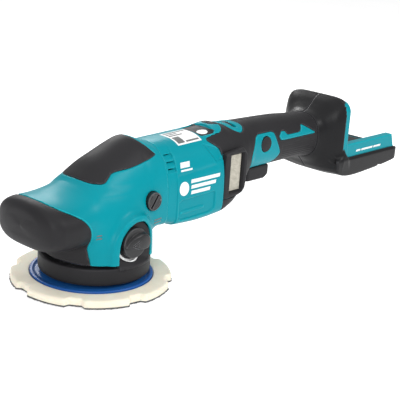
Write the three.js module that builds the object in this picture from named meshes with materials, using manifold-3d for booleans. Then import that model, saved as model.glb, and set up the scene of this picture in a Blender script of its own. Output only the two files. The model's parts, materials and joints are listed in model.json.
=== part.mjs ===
// A cordless dual action polisher: a brushless motor lies along the tool, drives a bevel pair in the
// head, and the bevel gear turns an eccentric crank that carries the backing pad.
// Units are millimetres. The working frame has Z = 0 on the pad's working face, the crank spindle
// on X = Y = 0, the battery end towards +X and +Z up. The finished group is moved at the end so
// that its origin is the bottom centre of the whole tool.
import * as THREE from 'three';
import { mergeVertices } from 'three/addons/utils/BufferGeometryUtils.js';
import Module from 'manifold-3d';

const wasm = await Module();
wasm.setup();

// ---- driving dimensions ---------------------------------------------------------------------

const gap = 0.3;
const wall = 2.6;
const orbit = 2.75;

const pad = {
  radius: 73, scallops: 8, firstBite: -8.2, biteRadius: 9, biteDepth: 3.4, hookTop: 1.5, top: 8,
  bevel: 2.2, centreHole: 14, seatRadius: 56.6, seatZ: 5.3,
};
const hub = { rimRadius: 55.9, rimTop: 9.4, rimBottom: 5.6, plateTop: 8.2, bossRadius: 13, bossTop: 13 };
const skirt = { radius: 51, bottom: 11.6, top: 27, wall: 2.4, innerLip: 41 };
const drum = { bottom: 27.5, radius: 50.2, shoulderZ: 47, topZ: 88, topRadius: 36 };

const motorZ = 84;
const bevel = { module: 1.5, gearTeeth: 35, pinionTeeth: 11, innerScale: 0.72 };
const innerGears = { module: 1.375, planetTeeth: 35, ringTeeth: 39, bottom: 14.9, top: 19.8 };
const knob = { x: 0.8, z: 48, radius: 13.4, face: -52, back: -46.6, grip: -56.5, pegOrbit: 4 };
const pin = { y: -38, radius: 1.7, bottom: 23, top: 43.5 };

const seamX = 55;
const sideEndX = 131;
const gripEndX = 296;
const wallX = 322;
const wallBackX = 330;
const rearX = 433;

const trigger = { front: 193, rear: 228, bottom: 60, top: 75, half: 14 };
const button = { x: 208, z: 100.5, radius: 7.7, face: -25 };
const dial = { x: 168.7, z: 112, radius: 12.4, width: 5 };
const filter = { front: 131.6, rear: 163.6, bottom: 59, top: 108, outer: 37.4, inner: 31 };
const bay = { railTop: 86, floor: 69.6, seat: 66.3, outer: 40, inner: 35.6, lip: 31, rear: 426 };

const teal = 0x0098ac;
const charcoal = 0x3b3b3f;
const black = 0x232326;
const cream = 0xf0ebdc;
const blue = 0x0a3c8c;
const steel = 0xb4b8bc;
const aluminium = 0xa8adb0;
const copper = 0xb06a3a;
const board = 0x1d5a3a;

// ---- outlines shared by both sides, in side view [X, Z] -----------------------------------------

const gripOutline = [
  [-74, 110], [-74, 89], [-68, 86], [-57, 82], [-48, 75], [-41, 65], [-39, 55], [-41, 44], [-36, 20],
  [-100, 20], [-100, 110],
];
const crownOutline = [
  [-30, 103], [-28, 99.5], [-23, 98], [-15, 98], [-9, 102.5], [-4, 106], [17, 108], [40, 113],
  [53.5, 116], [53.5, 140], [-30, 140],
];
const rearOutline = [
  [sideEndX + gap, 30], [sideEndX + gap, 107.5], [117, 118], [142, 121], [152, 128], [160, 145],
  [340, 145], [340, 30],
];
const switchPlate = [
  [184, 92], [193, 112], [221, 112], [227, 100], [234, 88], [231, 82], [218, 75], [187, 77],
];
const arrowStrip = [
  [230, 106], [234, 109], [240, 109], [244, 105], [266, 105], [270, 112], [292, 102], [288, 101], [233, 101],
];
const knobArch = [
  [-15.5, 20], [-16, 44], [-13, 54], [-6, 61.5], [4, 66], [14, 65], [21, 58], [24.5, 49], [24.5, 20],
];

// ---- casing sections -------------------------------------------------------------------------------

// Rows: X, half width, top, widest level, bottom, upper squareness, lower squareness.
const headRows = [
  [-86, 26, 82.5, 69, 56, 2.3, 2.6],
  [-84.5, 32, 85.5, 69, 51.5, 2.3, 2.8],
  [-80, 37.5, 88, 68, 48.5, 2.2, 3],
  [-70, 41.5, 89.3, 67, 46, 2.2, 3],
  [-57, 42, 90, 66, 45, 2.2, 3],
  [-34, 39, 96.5, 65, 46, 2.2, 3],
  [-24, 38.5, 104.5, 64, 46, 2.3, 3],
  [-10, 38, 115, 63, 46, 2.4, 3.4],
  [8, 38, 122, 63, 46, 2.5, 3.4],
  [30, 38, 129, 63, 46, 2.5, 3.6],
  [46, 37.4, 125, 63, 46, 2.6, 3.6],
  [seamX - gap, 37, 121.5, 63, 46, 2.7, 4],
];
const motorRows = [
  [seamX, 37, 121.5, 63, 46, 2.7, 4],
  [70, 37.4, 122, 63, 43.5, 2.7, 5],
  [100, 37.5, 122.8, 64, 42.5, 2.7, 5.5],
  [sideEndX, 37.2, 124.3, 66, 43.5, 2.6, 5],
  [146, 36.5, 127.4, 70, 46, 2.3, 4],
  [156, 35, 124.6, 76, 48.5, 2.5, 3.4],
  [174, 29.4, 123.6, 88, 56, 2.5, 2.6],
  [183, 26.4, 123.4, 93, 65, 2.5, 2.4],
  [193, 24.2, 123.3, 97, 72, 2.4, 2.3],
  [246, 23.2, 122, 97, 72.5, 2.4, 2.3],
  [277, 23, 119.5, 96, 73, 2.4, 2.3],
  [gripEndX, 23.4, 118.6, 95, 71, 2.4, 2.3],
  [wallX, 23.4, 118.6, 95, 71, 2.4, 2.3],
];
const guardRows = [
  [gripEndX + gap, 24, 119, 95, 70, 2.4, 2.4],
  [303, 27, 121, 95, 64, 2.6, 2.8],
  [309, 32, 126, 94, 59, 3, 3],
  [315, 37.5, 132, 92, 56.5, 3.8, 3.2],
  [wallX, 41.5, 136.5, 90, 54, 5.5, 3.4],
];

const ringPoints = 20;

function signedPower(value, power) {
  return Math.sign(value) * Math.abs(value) ** power;
}

// One closed ring of points in the plane X = row[0], drawn in from the outer surface by inset.
function sectionRing(row, inset) {
  const [x, half, top, widest, bottom, upper, lower] = row;
  const ring = [];
  for (let i = 0; i < ringPoints; i += 1) {
    const angle = (2 * Math.PI * i) / ringPoints;
    const isUpper = Math.sin(angle) >= 0;
    const power = 2 / (isUpper ? upper : lower);
    const height = (isUpper ? top - widest : widest - bottom) - inset;
    const y = (half - inset) * signedPower(Math.cos(angle), power);
    const z = widest + height * signedPower(Math.sin(angle), power);
    ring.push([x, y, z]);
  }
  return ring;
}

function between(rows, x) {
  const after = rows.findIndex((row) => row[0] >= x);
  const low = rows[after - 1];
  const high = rows[after];
  const share = (x - low[0]) / (high[0] - low[0]);
  return low.map((value, i) => value + share * (high[i] - value));
}

// The rows from one X to another, with a row made at each end.
function rowsBetween(rows, from, to) {
  const inside = rows.filter((row) => row[0] > from + 0.01 && row[0] < to - 0.01);
  const start = from <= rows[0][0] ? [from, ...rows[0].slice(1)] : between(rows, from);
  const last = rows[rows.length - 1];
  const end = to >= last[0] ? [to, ...last.slice(1)] : between(rows, to);
  return [start, ...inside, end];
}

function everySecond(rows) {
  return rows.filter((row, i) => i % 2 === 0 || i === rows.length - 1);
}

// ---- solids -----------------------------------------------------------------------------------------

function solidFromTriangles(vertices, triangles) {
  let volume = 0;
  for (const [a, b, c] of triangles) {
    const [p, q, r] = [vertices[a], vertices[b], vertices[c]];
    volume += p[0] * (q[1] * r[2] - q[2] * r[1]);
    volume += p[1] * (q[2] * r[0] - q[0] * r[2]);
    volume += p[2] * (q[0] * r[1] - q[1] * r[0]);
  }
  const outward = volume > 0 ? triangles : triangles.map(([a, b, c]) => [a, c, b]);
  const mesh = new wasm.Mesh({
    numProp: 3,
    vertProperties: Float32Array.from(vertices.flat()),
    triVerts: Uint32Array.from(outward.flat()),
  });
  return new wasm.Manifold(mesh);
}

// Turns a closed three.js geometry into a solid, dropping the collapsed triangles at its poles.
function solidOf(geometry) {
  geometry.deleteAttribute('normal');
  geometry.deleteAttribute('uv');
  const merged = mergeVertices(geometry, 1e-4);
  const position = merged.attributes.position;
  const vertices = [];
  for (let i = 0; i < position.count; i += 1) {
    vertices.push([position.getX(i), position.getY(i), position.getZ(i)]);
  }
  const index = merged.index.array;
  const triangles = [];
  for (let i = 0; i < index.length; i += 3) {
    const [a, b, c] = [index[i], index[i + 1], index[i + 2]];
    if (a !== b && b !== c && c !== a) {
      triangles.push([a, b, c]);
    }
  }
  return solidFromTriangles(vertices, triangles);
}

// Joins rings of equal length into a skin, with a flat fan closing each end.
function ringsToSolid(rings) {
  const count = rings[0].length;
  const vertices = rings.flat();
  const triangles = [];
  for (let band = 0; band < rings.length - 1; band += 1) {
    const here = band * count;
    const next = here + count;
    for (let i = 0; i < count; i += 1) {
      const j = (i + 1) % count;
      triangles.push([here + i, here + j, next + j]);
      triangles.push([here + i, next + j, next + i]);
    }
  }
  const end = (rings.length - 1) * count;
  for (let i = 1; i < count - 1; i += 1) {
    triangles.push([0, i + 1, i]);
    triangles.push([end, end + i, end + i + 1]);
  }
  return solidFromTriangles(vertices, triangles);
}

function loft(rows, inset = 0) {
  return ringsToSolid(rows.map((row) => sectionRing(row, inset)));
}

function box(x0, x1, y0, y1, z0, z1) {
  const geometry = new THREE.BoxGeometry(x1 - x0, y1 - y0, z1 - z0);
  geometry.translate((x0 + x1) / 2, (y0 + y1) / 2, (z0 + z1) / 2);
  return solidOf(geometry);
}

// A solid of revolution about the vertical line through [x, y]. The profile is [radius, Z] pairs.
function turned(profile, x = 0, y = 0, segments = 24) {
  const onAxis = profile[0][0] === 0 && profile[profile.length - 1][0] === 0;
  const closed = onAxis ? profile : [...profile, profile[0]];
  const points = closed.map(([radius, z]) => new THREE.Vector2(radius, z));
  const geometry = new THREE.LatheGeometry(points, segments);
  geometry.rotateX(Math.PI / 2);
  geometry.translate(x, y, 0);
  return solidOf(geometry);
}

function upright(x, y, radius, z0, z1, segments = 24) {
  return turned([[0, z0], [radius, z0], [radius, z1], [0, z1]], x, y, segments);
}

// The same, about the motor's axis: the profile is [radius, X] pairs.
function turnedAlongX(profile, y = 0, z = motorZ, segments = 20) {
  return turned(profile, 0, 0, segments).rotate([0, 90, 0]).translate([0, y, z]);
}

function rodAlongX(x0, x1, y, z, radius, segments = 16) {
  return turnedAlongX([[0, x0], [radius, x0], [radius, x1], [0, x1]], y, z, segments);
}

function rodAlongY(x, z, radius, y0, y1, segments = 20) {
  const rod = turned([[0, y0], [radius, y0], [radius, y1], [0, y1]], 0, 0, segments);
  return rod.rotate([-90, 0, 0]).translate([x, 0, z]);
}

function shapeOf(outline, holes = []) {
  const shape = new THREE.Shape(outline.map(([u, v]) => new THREE.Vector2(u, v)));
  for (const hole of holes) {
    shape.holes.push(new THREE.Path(hole.map(([u, v]) => new THREE.Vector2(u, v))));
  }
  return shape;
}

// An [X, Y] outline raised from z0 to z1.
function plate(outline, z0, z1, holes = []) {
  const settings = { depth: z1 - z0, bevelEnabled: false };
  const geometry = new THREE.ExtrudeGeometry(shapeOf(outline, holes), settings);
  geometry.translate(0, 0, z0);
  return solidOf(geometry);
}

// A side-view [X, Z] outline run across the tool from y0 to y1.
function across(outline, y0, y1) {
  const geometry = new THREE.ExtrudeGeometry(shapeOf(outline), { depth: y1 - y0, bevelEnabled: false });
  geometry.rotateX(Math.PI / 2);
  geometry.translate(0, y1, 0);
  return solidOf(geometry);
}

// The outline with every edge moved inwards by a distance, or outwards when it is negative.
function shrink(outline, distance) {
  const area = outline.reduce((sum, [x, z], i) => {
    const [nextX, nextZ] = outline[(i + 1) % outline.length];
    return sum + x * nextZ - nextX * z;
  }, 0);
  const inward = Math.sign(area) * distance;
  const normal = ([x0, z0], [x1, z1]) => {
    const length = Math.hypot(x1 - x0, z1 - z0);
    return [-(z1 - z0) / length, (x1 - x0) / length];
  };
  return outline.map((point, i) => {
    const before = outline[(i + outline.length - 1) % outline.length];
    const after = outline[(i + 1) % outline.length];
    const [u0, v0] = normal(before, point);
    const [u1, v1] = normal(point, after);
    const spread = inward / (1 + u0 * u1 + v0 * v1);
    return [point[0] + (u0 + u1) * spread, point[1] + (v0 + v1) * spread];
  });
}

function circle(radius, count, centreX = 0, centreY = 0) {
  const points = [];
  for (let i = 0; i < count; i += 1) {
    const angle = (2 * Math.PI * i) / count;
    points.push([centreX + radius * Math.cos(angle), centreY + radius * Math.sin(angle)]);
  }
  return points;
}

function unite(solids) {
  return solids.reduce((sum, solid) => sum.add(solid));
}

function cutAll(solid, tools) {
  return tools.reduce((rest, tool) => rest.subtract(tool), solid);
}

const reach = 200;
const leftSide = box(-reach, 2 * reach + 100, -reach, -gap / 2, -reach, reach);
const rightSide = box(-reach, 2 * reach + 100, gap / 2, reach, -reach, reach);

// ---- the group --------------------------------------------------------------------------------------

const polisher = new THREE.Group();
polisher.name = 'dual_action_polisher';

function addPart(name, solid, color, roughness = 0.5, metalness = 0) {
  const { vertProperties, triVerts } = solid.getMesh();
  const geometry = new THREE.BufferGeometry();
  geometry.setAttribute('position', new THREE.BufferAttribute(Float32Array.from(vertProperties), 3));
  geometry.setIndex(new THREE.BufferAttribute(Uint32Array.from(triVerts), 1));
  geometry.computeVertexNormals();
  const material = new THREE.MeshStandardMaterial({ color, roughness, metalness });
  const mesh = new THREE.Mesh(geometry, material);
  mesh.name = name;
  polisher.add(mesh);
}

function addHalves(name, solid, color, roughness) {
  addPart(`${name}_left`, solid.intersect(leftSide), color, roughness);
  addPart(`${name}_right`, solid.intersect(rightSide), color, roughness);
}

function addMetal(name, solid, color = steel) {
  addPart(name, solid, color, 0.35, 0.9);
}

// ---- backing pad ------------------------------------------------------------------------------------

const padX = -orbit;

// A disc outline with shallow vent bites round its edge.
function scallopedOutline(radius) {
  const points = [];
  const steps = 7;
  const bite = pad.biteRadius / pad.radius;
  for (let i = 0; i < pad.scallops; i += 1) {
    const middle = THREE.MathUtils.degToRad(pad.firstBite + (360 / pad.scallops) * i);
    for (let k = 0; k < steps; k += 1) {
      const offset = ((k / (steps - 1)) * 2 - 1) * bite;
      const depth = pad.biteDepth * Math.cos((offset / bite) * (Math.PI / 2)) ** 2;
      points.push([middle + offset, radius - depth]);
    }
    for (let k = 1; k < 3; k += 1) {
      const start = middle + bite;
      const end = middle + (2 * Math.PI) / pad.scallops - bite;
      points.push([start + (k / 3) * (end - start), radius]);
    }
  }
  return points.map(([angle, r]) => [padX + r * Math.cos(angle), r * Math.sin(angle)]);
}

function makePad() {
  const hookHole = circle(pad.centreHole, 20, padX);
  const hook = plate(scallopedOutline(pad.radius - 0.6), 0, pad.hookTop - gap, [hookHole]);
  addPart('hook_face', hook, black, 0.95);

  const low = scallopedOutline(pad.radius);
  const high = scallopedOutline(pad.radius - pad.bevel);
  const rings = [
    low.map(([x, y]) => [x, y, pad.hookTop]),
    low.map(([x, y]) => [x, y, pad.top - pad.bevel]),
    high.map(([x, y]) => [x, y, pad.top]),
  ];
  const disc = ringsToSolid(rings);
  const seat = upright(padX, 0, pad.seatRadius, pad.seatZ, pad.top + 1, 36);
  const hole = upright(padX, 0, pad.centreHole, -1, pad.top);
  addPart('pad_foam', cutAll(disc, [seat, hole]), cream, 0.9);
}

function makeHub() {
  const boltHole = 4.6;
  const grooveDepth = 1.6;
  const profile = [
    [boltHole, 6.6], [pad.centreHole - gap, 6.6], [pad.centreHole - gap, hub.rimBottom],
    [hub.rimRadius, hub.rimBottom], [hub.rimRadius, hub.rimTop], [hub.rimRadius - 3, hub.rimTop],
    [hub.rimRadius - 4, hub.rimTop - grooveDepth], [hub.rimRadius - 6.5, hub.rimTop - grooveDepth],
    [hub.rimRadius - 7.5, hub.plateTop], [hub.bossRadius + 2, hub.plateTop],
    [hub.bossRadius, hub.bossTop], [boltHole, hub.bossTop],
  ];
  addPart('pad_hub', turned(profile, padX, 0, 28), blue, 0.45);

  const headProfile = [[0, 2.6], [6.4, 2.6], [6.4, 6.3], [4, 6.3], [4, 27], [0, 27]];
  const socket = plate(circle(2.9, 6, padX), 0, 4.8);
  addMetal('pad_bolt', turned(headProfile, padX, 0, 14).subtract(socket));
}

// ---- orbit drive ------------------------------------------------------------------------------------

// Polar outline of a gear with straight-flanked teeth. A tooth is centred on angle `phase`.
function gearOutline(teeth, rootRadius, tipRadius, rootShare, tipShare, phase) {
  const pitch = (2 * Math.PI) / teeth;
  const points = [];
  for (let i = 0; i < teeth; i += 1) {
    const middle = phase + i * pitch;
    points.push([middle - (rootShare / 2) * pitch, rootRadius]);
    points.push([middle - (tipShare / 2) * pitch, tipRadius]);
    points.push([middle + (tipShare / 2) * pitch, tipRadius]);
    points.push([middle + (rootShare / 2) * pitch, rootRadius]);
  }
  return points;
}

function fromPolar(points, centreX = 0) {
  return points.map(([angle, radius]) => [centreX + radius * Math.cos(angle), radius * Math.sin(angle)]);
}

function makeInnerGears() {
  const { module, planetTeeth, ringTeeth, bottom, top } = innerGears;
  const addendum = 0.6 * module;
  const dedendum = 0.85 * module;
  const planetPitch = (planetTeeth * module) / 2;
  const planetPoints = gearOutline(
    planetTeeth, planetPitch - dedendum, planetPitch + addendum, 0.56, 0.24, Math.PI,
  );
  const bore = circle(7.6, 16, padX);
  addMetal('planet_gear', plate(fromPolar(planetPoints, padX), bottom, top, [bore]));

  // The ring's teeth point inwards, so its spaces are drawn as the teeth of a wider gear.
  const ringPitch = (ringTeeth * module) / 2;
  const spacePoints = gearOutline(
    ringTeeth, ringPitch - addendum, ringPitch + dedendum, 0.78, 0.44, Math.PI,
  );
  const rim = upright(0, 0, 31.6, 13.6, top, 28).add(upright(0, 0, 40, 13.6, 17, 28));
  const spaces = plate(fromPolar(spacePoints), 13, top + 1);
  addMetal('ring_gear', rim.subtract(spaces));
}

function makeCrank() {
  const drumProfile = [
    [0, 23.6], [21, 23.6], [21, 40], [9.5, 40], [9.5, 47.6], [7, 47.6], [7, 99.6], [0, 99.6],
  ];
  const pocket = upright(padX, 0, 15.3, 20, 37.2);
  addMetal('crank_spindle', turned(drumProfile).subtract(pocket));

  const bearing = [[7.5, 25], [15, 25], [15, 36.6], [7.5, 36.6]];
  addMetal('eccentric_bearing', turned(bearing, padX));

  const spindleProfile = [
    [0, 30], [4.3, 30], [4.3, 13.3], [12, 13.3], [12, 14.5], [7.2, 14.5], [7.2, 36.4], [0, 36.4],
  ];
  addMetal('output_spindle', turned(spindleProfile, padX));

  const sector = [];
  const sectorSteps = 10;
  const sectorHalf = 1.25;
  for (let i = 0; i <= sectorSteps; i += 1) {
    const angle = (i / sectorSteps) * 2 * sectorHalf - sectorHalf;
    sector.push([29 * Math.cos(angle), 29 * Math.sin(angle)]);
  }
  const weight = plate([...sector, [-12, 10], [-12, -10]], 40.3, 46.8, [circle(9.8, 16)]);
  addMetal('counterweight', weight, aluminium);
}

// A straight bevel gear on the Z axis. Its teeth face up and all point at the apex, which is the origin.
function bevelGear(teeth, mate, boreRadius, backZ, backRadius, phase) {
  const pitchRadius = (teeth * bevel.module) / 2;
  const pitchZ = (-mate * bevel.module) / 2;
  const cone = Math.atan2(pitchRadius, -pitchZ);
  const addendum = 0.75 * bevel.module;
  const dedendum = 1.0 * bevel.module;
  const outline = gearOutline(teeth, -dedendum, addendum, 0.6, 0.2, phase);
  const outer = outline.map(([angle, height]) => {
    const radius = pitchRadius + height * Math.cos(cone);
    return [radius * Math.cos(angle), radius * Math.sin(angle), pitchZ + height * Math.sin(cone)];
  });
  const inner = outer.map((point) => point.map((value) => value * bevel.innerScale));
  const ringAt = (radius, z) => outline.map(([angle]) => [
    radius * Math.cos(angle), radius * Math.sin(angle), z,
  ]);
  const frontRadius = pitchRadius * bevel.innerScale - 1.6 * Math.sin(cone);
  const front = ringAt(Math.max(frontRadius, boreRadius), pitchZ * bevel.innerScale - 1.6);
  const bore = upright(0, 0, boreRadius, backZ - 1, 1, 16);
  return ringsToSolid([front, inner, outer, ringAt(backRadius, backZ)]).subtract(bore);
}

function makeBevelPair() {
  const { gearTeeth, pinionTeeth } = bevel;
  const gear = bevelGear(gearTeeth, pinionTeeth, 7.3, -17, 24.6, 0);
  addMetal('bevel_gear', gear.translate([0, 0, motorZ]));

  const pinion = bevelGear(pinionTeeth, gearTeeth, 4.3, -34, 7.2, 0);
  addMetal('bevel_pinion', pinion.rotate([0, -90, 0]).translate([0, 0, motorZ]));
}

// ---- gear case --------------------------------------------------------------------------------------

function ballRace(name, inner, outer, from, to, alongX) {
  const profile = [[inner, from], [outer, from], [outer, to], [inner, to]];
  addMetal(name, alongX ? turnedAlongX(profile) : turned(profile));
}

function makeGearCase() {
  const outerProfile = [[0, 60.5], [33.2, 60.5], [33.2, 82], [17.6, 102.5], [0, 103.6]];
  const innerProfile = [[0, 50], [30, 50], [30, 80], [17.5, 91.4], [14.3, 91.4], [14.3, 100.2], [0, 100.2]];
  const neck = rodAlongX(20, 54.4, 0, motorZ, 22.5, 28);
  const neckInside = rodAlongX(17.8, 41, 0, motorZ, 19, 24);
  const bearingSeat = rodAlongX(30, 60, 0, motorZ, 11.3, 24);
  const flange = box(50.4, 54.4, -25, 25, 59, 101);
  const screwHoles = housingScrewPlaces.map(([y, z]) => rodAlongX(30, 60, y, z, 2.3, 8));
  const solid = unite([turned(outerProfile), neck, flange]);
  addMetal('gear_housing', cutAll(solid, [turned(innerProfile), neckInside, bearingSeat, ...screwHoles]),
    aluminium);

  const boxProfile = [
    [32, 20.4], [35.6, 20.4], [35.6, 57], [41.5, 57], [41.5, 60.2], [20.4, 60.2], [20.4, 58.6], [14.9, 58.6],
    [14.9, 56.6], [17.3, 56.6], [17.3, 48.2], [32, 48.2],
  ];
  addMetal('bearing_box', turned(boxProfile), aluminium);

  ballRace('spindle_bearing_lower', 7.3, 17, 48.6, 56.3, false);
  ballRace('spindle_bearing_upper', 7.3, 14, 92, 99.6, false);
  ballRace('motor_bearing_front', 4.3, 11, 43, 50, true);
  ballRace('motor_bearing_rear', 4.3, 9.5, 116, 122, true);
}

const housingScrewPlaces = [[-20.5, 63], [20.5, 63], [-20.5, 97], [20.5, 97]];

function makeHousingScrews() {
  housingScrewPlaces.forEach(([y, z], i) => {
    const head = rodAlongX(54.8, 58.4, y, z, 3.8, 10);
    const shank = rodAlongX(46, 54.9, y, z, 2, 8);
    addMetal(`housing_screw_${i + 1}`, head.add(shank));
  });
}

// ---- motor ------------------------------------------------------------------------------------------

function makeRotor() {
  addMetal('motor_shaft', rodAlongX(19, 124, 0, motorZ, 4, 20));
  const core = [[4.3, 74], [14, 74], [14, 106], [4.3, 106]];
  addMetal('rotor_core', turnedAlongX(core), 0x6c7074);

  const hubProfile = [
    [4.3, 58], [8.5, 58], [8.5, 66], [27, 66], [27, 67.6], [4.3, 67.6],
  ];
  const blades = [];
  const bladeCount = 9;
  for (let i = 0; i < bladeCount; i += 1) {
    const blade = box(59, 66.2, -0.8, 0.8, 9, 26).rotate([(360 / bladeCount) * i, 0, 0]);
    blades.push(blade.translate([0, 0, motorZ]));
  }
  addPart('cooling_fan', unite([turnedAlongX(hubProfile), ...blades]), black, 0.6);
}

// A ring-shaped lamination with six wound teeth; the windings fill its slots.
function makeStator() {
  const slots = [];
  const bars = [];
  for (let i = 0; i < 6; i += 1) {
    const turn = [60 * i, 0, 0];
    const slot = box(70, 112, -4.4, 4.4, 15.5, 23.5);
    const mouth = box(70, 112, -1.2, 1.2, 13, 16);
    slots.push(unite([slot, mouth]).rotate(turn).translate([0, 0, motorZ]));
    bars.push(box(71, 110, -4, 4, 17, 23).rotate(turn).translate([0, 0, motorZ]));
  }
  const lamination = turnedAlongX([[14.8, 74], [27, 74], [27, 106], [14.8, 106]]);
  addMetal('stator_core', cutAll(lamination, slots), 0x7d8286);
  const frontTurns = turnedAlongX([[16.6, 70], [23.4, 70], [23.4, 73.6], [16.6, 73.6]]);
  const rearTurns = turnedAlongX([[16.6, 106.4], [23.4, 106.4], [23.4, 110], [16.6, 110]]);
  addPart('stator_winding', unite([frontTurns, rearTurns, ...bars]), copper, 0.4, 0.6);
  const sensorBoard = turnedAlongX([[9, 111], [26, 111], [26, 112.6], [9, 112.6]]);
  addPart('sensor_board', sensorBoard, board, 0.5);
}

// ---- head casing --------------------------------------------------------------------------------------

// The plan outline that limits the crown grip at the rear: it bows forwards over the ridge.
function crownRearCut() {
  const points = [];
  for (let i = 0; i <= 10; i += 1) {
    const y = -45 + 9 * i;
    points.push([38 + 15.4 * Math.min(1, (Math.abs(y) / 30) ** 2), y]);
  }
  return plate([...points, [80, 45], [80, -45]], 80, 150);
}

function drumSolid(inset, bottom) {
  const { radius, shoulderZ, topZ, topRadius } = drum;
  return turned([
    [0, bottom], [radius + 0.4 - inset, bottom], [radius - inset, shoulderZ - 8],
    [radius - 1.6 - inset, shoulderZ + 4], [radius - 6 - inset, shoulderZ + 17],
    [topRadius - inset, topZ - inset], [0, topZ - inset],
  ], 0, 0, 32);
}

function makeHead() {
  const outer = loft(headRows).add(drumSolid(0, drum.bottom));
  const cavityRows = rowsBetween(headRows, -78, seamX + 1);
  const cavity = loft(cavityRows, wall).add(drumSolid(wall, drum.bottom - 1));
  const shell = outer.subtract(cavity);

  const crownRear = crownRearCut();
  const gripRegion = across(gripOutline, -reach, reach);
  const crownRegion = across(crownOutline, -reach, reach).subtract(crownRear);
  addPart('front_grip', shell.intersect(gripRegion), charcoal, 0.75);
  addPart('crown_grip', shell.intersect(crownRegion), charcoal, 0.75);

  const gripClear = gripRegion.translate([gap, 0, 0]);
  const crownClear = unite([
    across(shrink(crownOutline, -gap * 1.4), -reach, reach).subtract(crownRear.translate([gap, 0, 0])),
    crownRegion,
  ]);
  const arch = across(knobArch, -reach, -36);
  const plugHoles = [[-60, -30], [30, 60]].map(([from, to]) => (
    rodAlongY(plug.x, plug.z, plug.radius + gap, from, to)));
  addPart('head_cover', cutAll(shell, [gripClear, crownClear, arch, ...plugHoles]), teal, 0.4);
}

const plug = { x: 33.7, z: 76.8, radius: 8.5, outer: 40.6, inner: 33.6 };

// A slotted screw plug that closes the side-handle boss, one on each side.
function makePlugs() {
  for (const [name, side] of [['side_plug_left', -1], ['side_plug_right', 1]]) {
    const ends = [side * plug.outer, side * plug.inner].sort((a, b) => a - b);
    const disc = rodAlongY(plug.x, plug.z, plug.radius, ends[0], ends[1]);
    const slotEnds = [side * (plug.outer + 1), side * (plug.outer - 2)].sort((a, b) => a - b);
    const slot = box(-1.1, 1.1, slotEnds[0], slotEnds[1], -7, 7);
    const turnedSlot = slot.rotate([0, 35, 0]).translate([plug.x, 0, plug.z]);
    addPart(name, disc.subtract(turnedSlot), black, 0.6);
  }
}

function makeSkirt() {
  const { radius, bottom, top, innerLip } = skirt;
  const ring = turned([
    [radius - skirt.wall, bottom], [radius - 0.8, bottom], [radius, bottom + 1.5], [radius, top - 1.2],
    [radius - 1.2, top], [innerLip, top], [innerLip, top - 2], [radius - skirt.wall, top - 2],
  ], 0, 0, 32);
  const lug = across(shrink(knobArch.map(([x, z]) => [x, Math.max(z, top - 1)]), 2 * gap), -46.2, -43.2);
  const shaftHole = rodAlongY(knob.x, knob.z, 4.4, -60, -30, 20);
  addPart('skirt', ring.add(lug).subtract(shaftHole), charcoal, 0.7);
}

// The knob turns about Y. A peg on its inner end lowers the brake pin on to the ring gear's rim.
function makeModeKnob() {
  const { x, z, radius, face, back, grip, pegOrbit } = knob;
  const disc = rodAlongY(x, z, radius, face, back, 28);
  const leaf = [[-11.5, 0], [-6, -4.4], [4, -7.2], [10, -5.6], [12, 0], [10, 5.6], [4, 7.2], [-6, 4.4]];
  const bar = across(leaf.map(([u, v]) => [x + u, z + v]), grip, face + 1);
  const shaft = rodAlongY(x, z, 4, back - 1, -42.5, 20);
  const web = rodAlongY(x, z, 6, -42.6, -41.4, 20);
  const pegX = x + pegOrbit * Math.cos(Math.PI / 4);
  const pegZ = z + pegOrbit * Math.sin(Math.PI / 4);
  const peg = rodAlongY(pegX, pegZ, 1.3, -41.5, -36.8, 12);
  addPart('mode_knob', unite([disc, bar, shaft, web, peg]), black, 0.55);

  const slotHalf = 1.8;
  const head = box(x - 2.5, x + 7.4, pin.y - 1.7, pin.y + 1.2, pin.top, pegZ + 4);
  const slot = box(x - 1.2, x + 5.9, pin.y - 4, pin.y + 4, pegZ - slotHalf, pegZ + slotHalf);
  const rod = upright(x, pin.y, pin.radius, pin.bottom, pin.top + 1, 16);
  addMetal('shift_pin', rod.add(head).subtract(slot));
}

// ---- motor housing and handle ---------------------------------------------------------------------------

function louvres() {
  const slots = [];
  for (const side of [-1, 1]) {
    for (const z of [96, 102, 108]) {
      const ends = [side * 20, side * 45].sort((a, b) => a - b);
      slots.push(box(58, 67, ends[0], ends[1], z, z + 3.2));
    }
  }
  return slots;
}

function makeMotorHousing() {
  const rows = rowsBetween(motorRows, seamX + gap, 152);
  const cavityRows = rowsBetween(motorRows, seamX - 1, 154);
  const rear = across(rearOutline.map(([x, z]) => [x - gap, z]), -reach, reach);
  const shell = loft(rows).subtract(loft(everySecond(cavityRows), wall));
  addPart('motor_housing', cutAll(shell, [rear, ...louvres()]), teal, 0.4);
}

function filterWindow() {
  const { front, rear, bottom, top, inner } = filter;
  const left = box(front - gap, rear + gap, -60, -inner + gap, bottom - gap, top + gap);
  const right = box(front - gap, rear + gap, inner - gap, 60, bottom - gap, top + gap);
  return [left, right];
}

function makeFilters() {
  const { front, rear, bottom, top, outer, inner } = filter;
  for (const [name, side] of [['left', -1], ['right', 1]]) {
    const span = (low, high) => [side * low, side * high].sort((a, b) => a - b);
    const body = span(inner, outer);
    const opening = span(inner - 1, outer + 1);
    const outline = [[front, bottom + 2], [front + 2, bottom], [rear - 6, bottom + 2], [rear, bottom + 9],
      [rear, top], [front + 2, top - 3], [front, top - 5]];
    const frame = across(outline, body[0], body[1]);
    const window = box(front + 8.4, rear - 5.6, opening[0], opening[1], bottom + 6, top - 6);
    addPart(`filter_frame_${name}`, frame.subtract(window), charcoal, 0.6);
    const mesh = span(inner + 2.2, inner + 3);
    const screen = box(front + 8.7, rear - 5.9, mesh[0], mesh[1], bottom + 6.3, top - 6.3);
    addPart(`filter_mesh_${name}`, screen, 0xaaa596, 0.5, 0.3);
  }
}

const screwPlaces = [[186, 82], [244, 84], [288, 82]];
const skinThickness = 2;
const shellInset = skinThickness + gap;
const shellWall = 2.4;

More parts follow.
